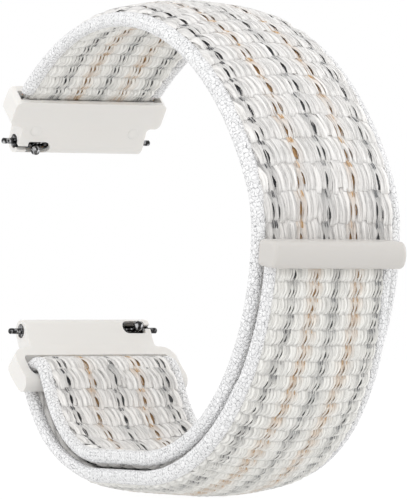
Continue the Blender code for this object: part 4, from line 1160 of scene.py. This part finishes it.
PLASTIC = moulded_plastic("greige_satin", (0.735, 0.720, 0.695, 1.0))
# The end cap's plastic is the connectors' plastic painted darker: painted shade for its sideways face.
SHADED_CAP_PLASTIC = moulded_plastic("cap_satin_painted_shade", (0.555, 0.535, 0.510, 1.0))
moulded = {"strap": [smooth_copy("upper_connector", PLASTIC),
                     moulding_mark("near_mark", (-0.034106, -0.007841, 0.050352), PLASTIC),
                     moulding_mark("far_mark", (-0.034195, 0.007988, 0.050184), PLASTIC)],
           "lower_connector": [smooth_copy("lower_connector", PLASTIC)],
           "flap_tip": [rounded_cap(SHADED_CAP_PLASTIC)]}
for body, pieces in moulded.items():
    for piece in pieces:
        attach(piece, body)


# The spring bars and the anchor rod: turned and drawn steel, polished, with painted dark and bright
# reflection in its colour. The tubes, pins, knobs and the rod stand in their imported shapes. The coil
# springs are merged copies of the imported ones.


def painted_reflection_steel(name, dark, light):
    """Polished steel with painted reflection: its colour goes in patches between a dark and a light tone, as
    painted dark surroundings and painted highlights, and the same noise gives turning marks as a bump.
    """
    material, tree, shader = new_material(name, {"Metallic": 1.0, "Roughness": 0.12})
    stretch = new_node(tree, "ShaderNodeMapping", {"Scale": (1500.0, 2600.0, 1500.0)})
    marks = new_node(tree, "ShaderNodeTexNoise", {"Scale": 1.0, "Detail": 1.0})
    step = new_node(tree, "ShaderNodeMapRange", {"From Min": 0.48, "From Max": 0.64})
    dent = new_node(tree, "ShaderNodeBump", {"Strength": 0.5, "Distance": 0.00003})
    low, high = (dark, dark, dark * 1.03, 1.0), (light, light, light * 1.02, 1.0)
    tone = tone_mix(tree, step.outputs["Result"], low, high)
    tree.links.new(new_node(tree, "ShaderNodeTexCoord").outputs["Object"], stretch.inputs["Vector"])
    tree.links.new(stretch.outputs["Vector"], marks.inputs["Vector"])
    tree.links.new(marks.outputs["Fac"], step.inputs["Value"])
    tree.links.new(tone.outputs["Result"], shader.inputs["Base Color"])
    tree.links.new(marks.outputs["Fac"], dent.inputs["Height"])
    tree.links.new(dent.outputs["Normal"], shader.inputs["Normal"])
    return material


# Painted reflection: both steels' colours go in dark and light patches in place of mirrored surroundings.
GUNMETAL = painted_reflection_steel("gunmetal_painted_reflection", 0.02, 0.30)
PIN_STEEL = painted_reflection_steel("pin_steel_painted_reflection", 0.03, 0.50)


def shortening_coil(node):
    """A merged copy of a packed spring, shaded smooth and attached to its spring bar's body in place of the
    imported one.
    """
    form = merged_form(node)
    for face in form.faces:
        face.smooth = True
    piece = form_piece(form, node + "_coil", PIN_STEEL)
    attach(piece, node[:5] + "_spring_bar")
    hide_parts(node)
    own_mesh(piece)


for node, thing in nodes.items():
    if "_bar_" in node:
        thing.data.materials[0] = GUNMETAL if node.endswith("barrel") else PIN_STEEL
nodes["strap_anchor_rod"].data.materials[0] = PIN_STEEL
shortening_coil("upper_bar_spring")
shortening_coil("lower_bar_spring")
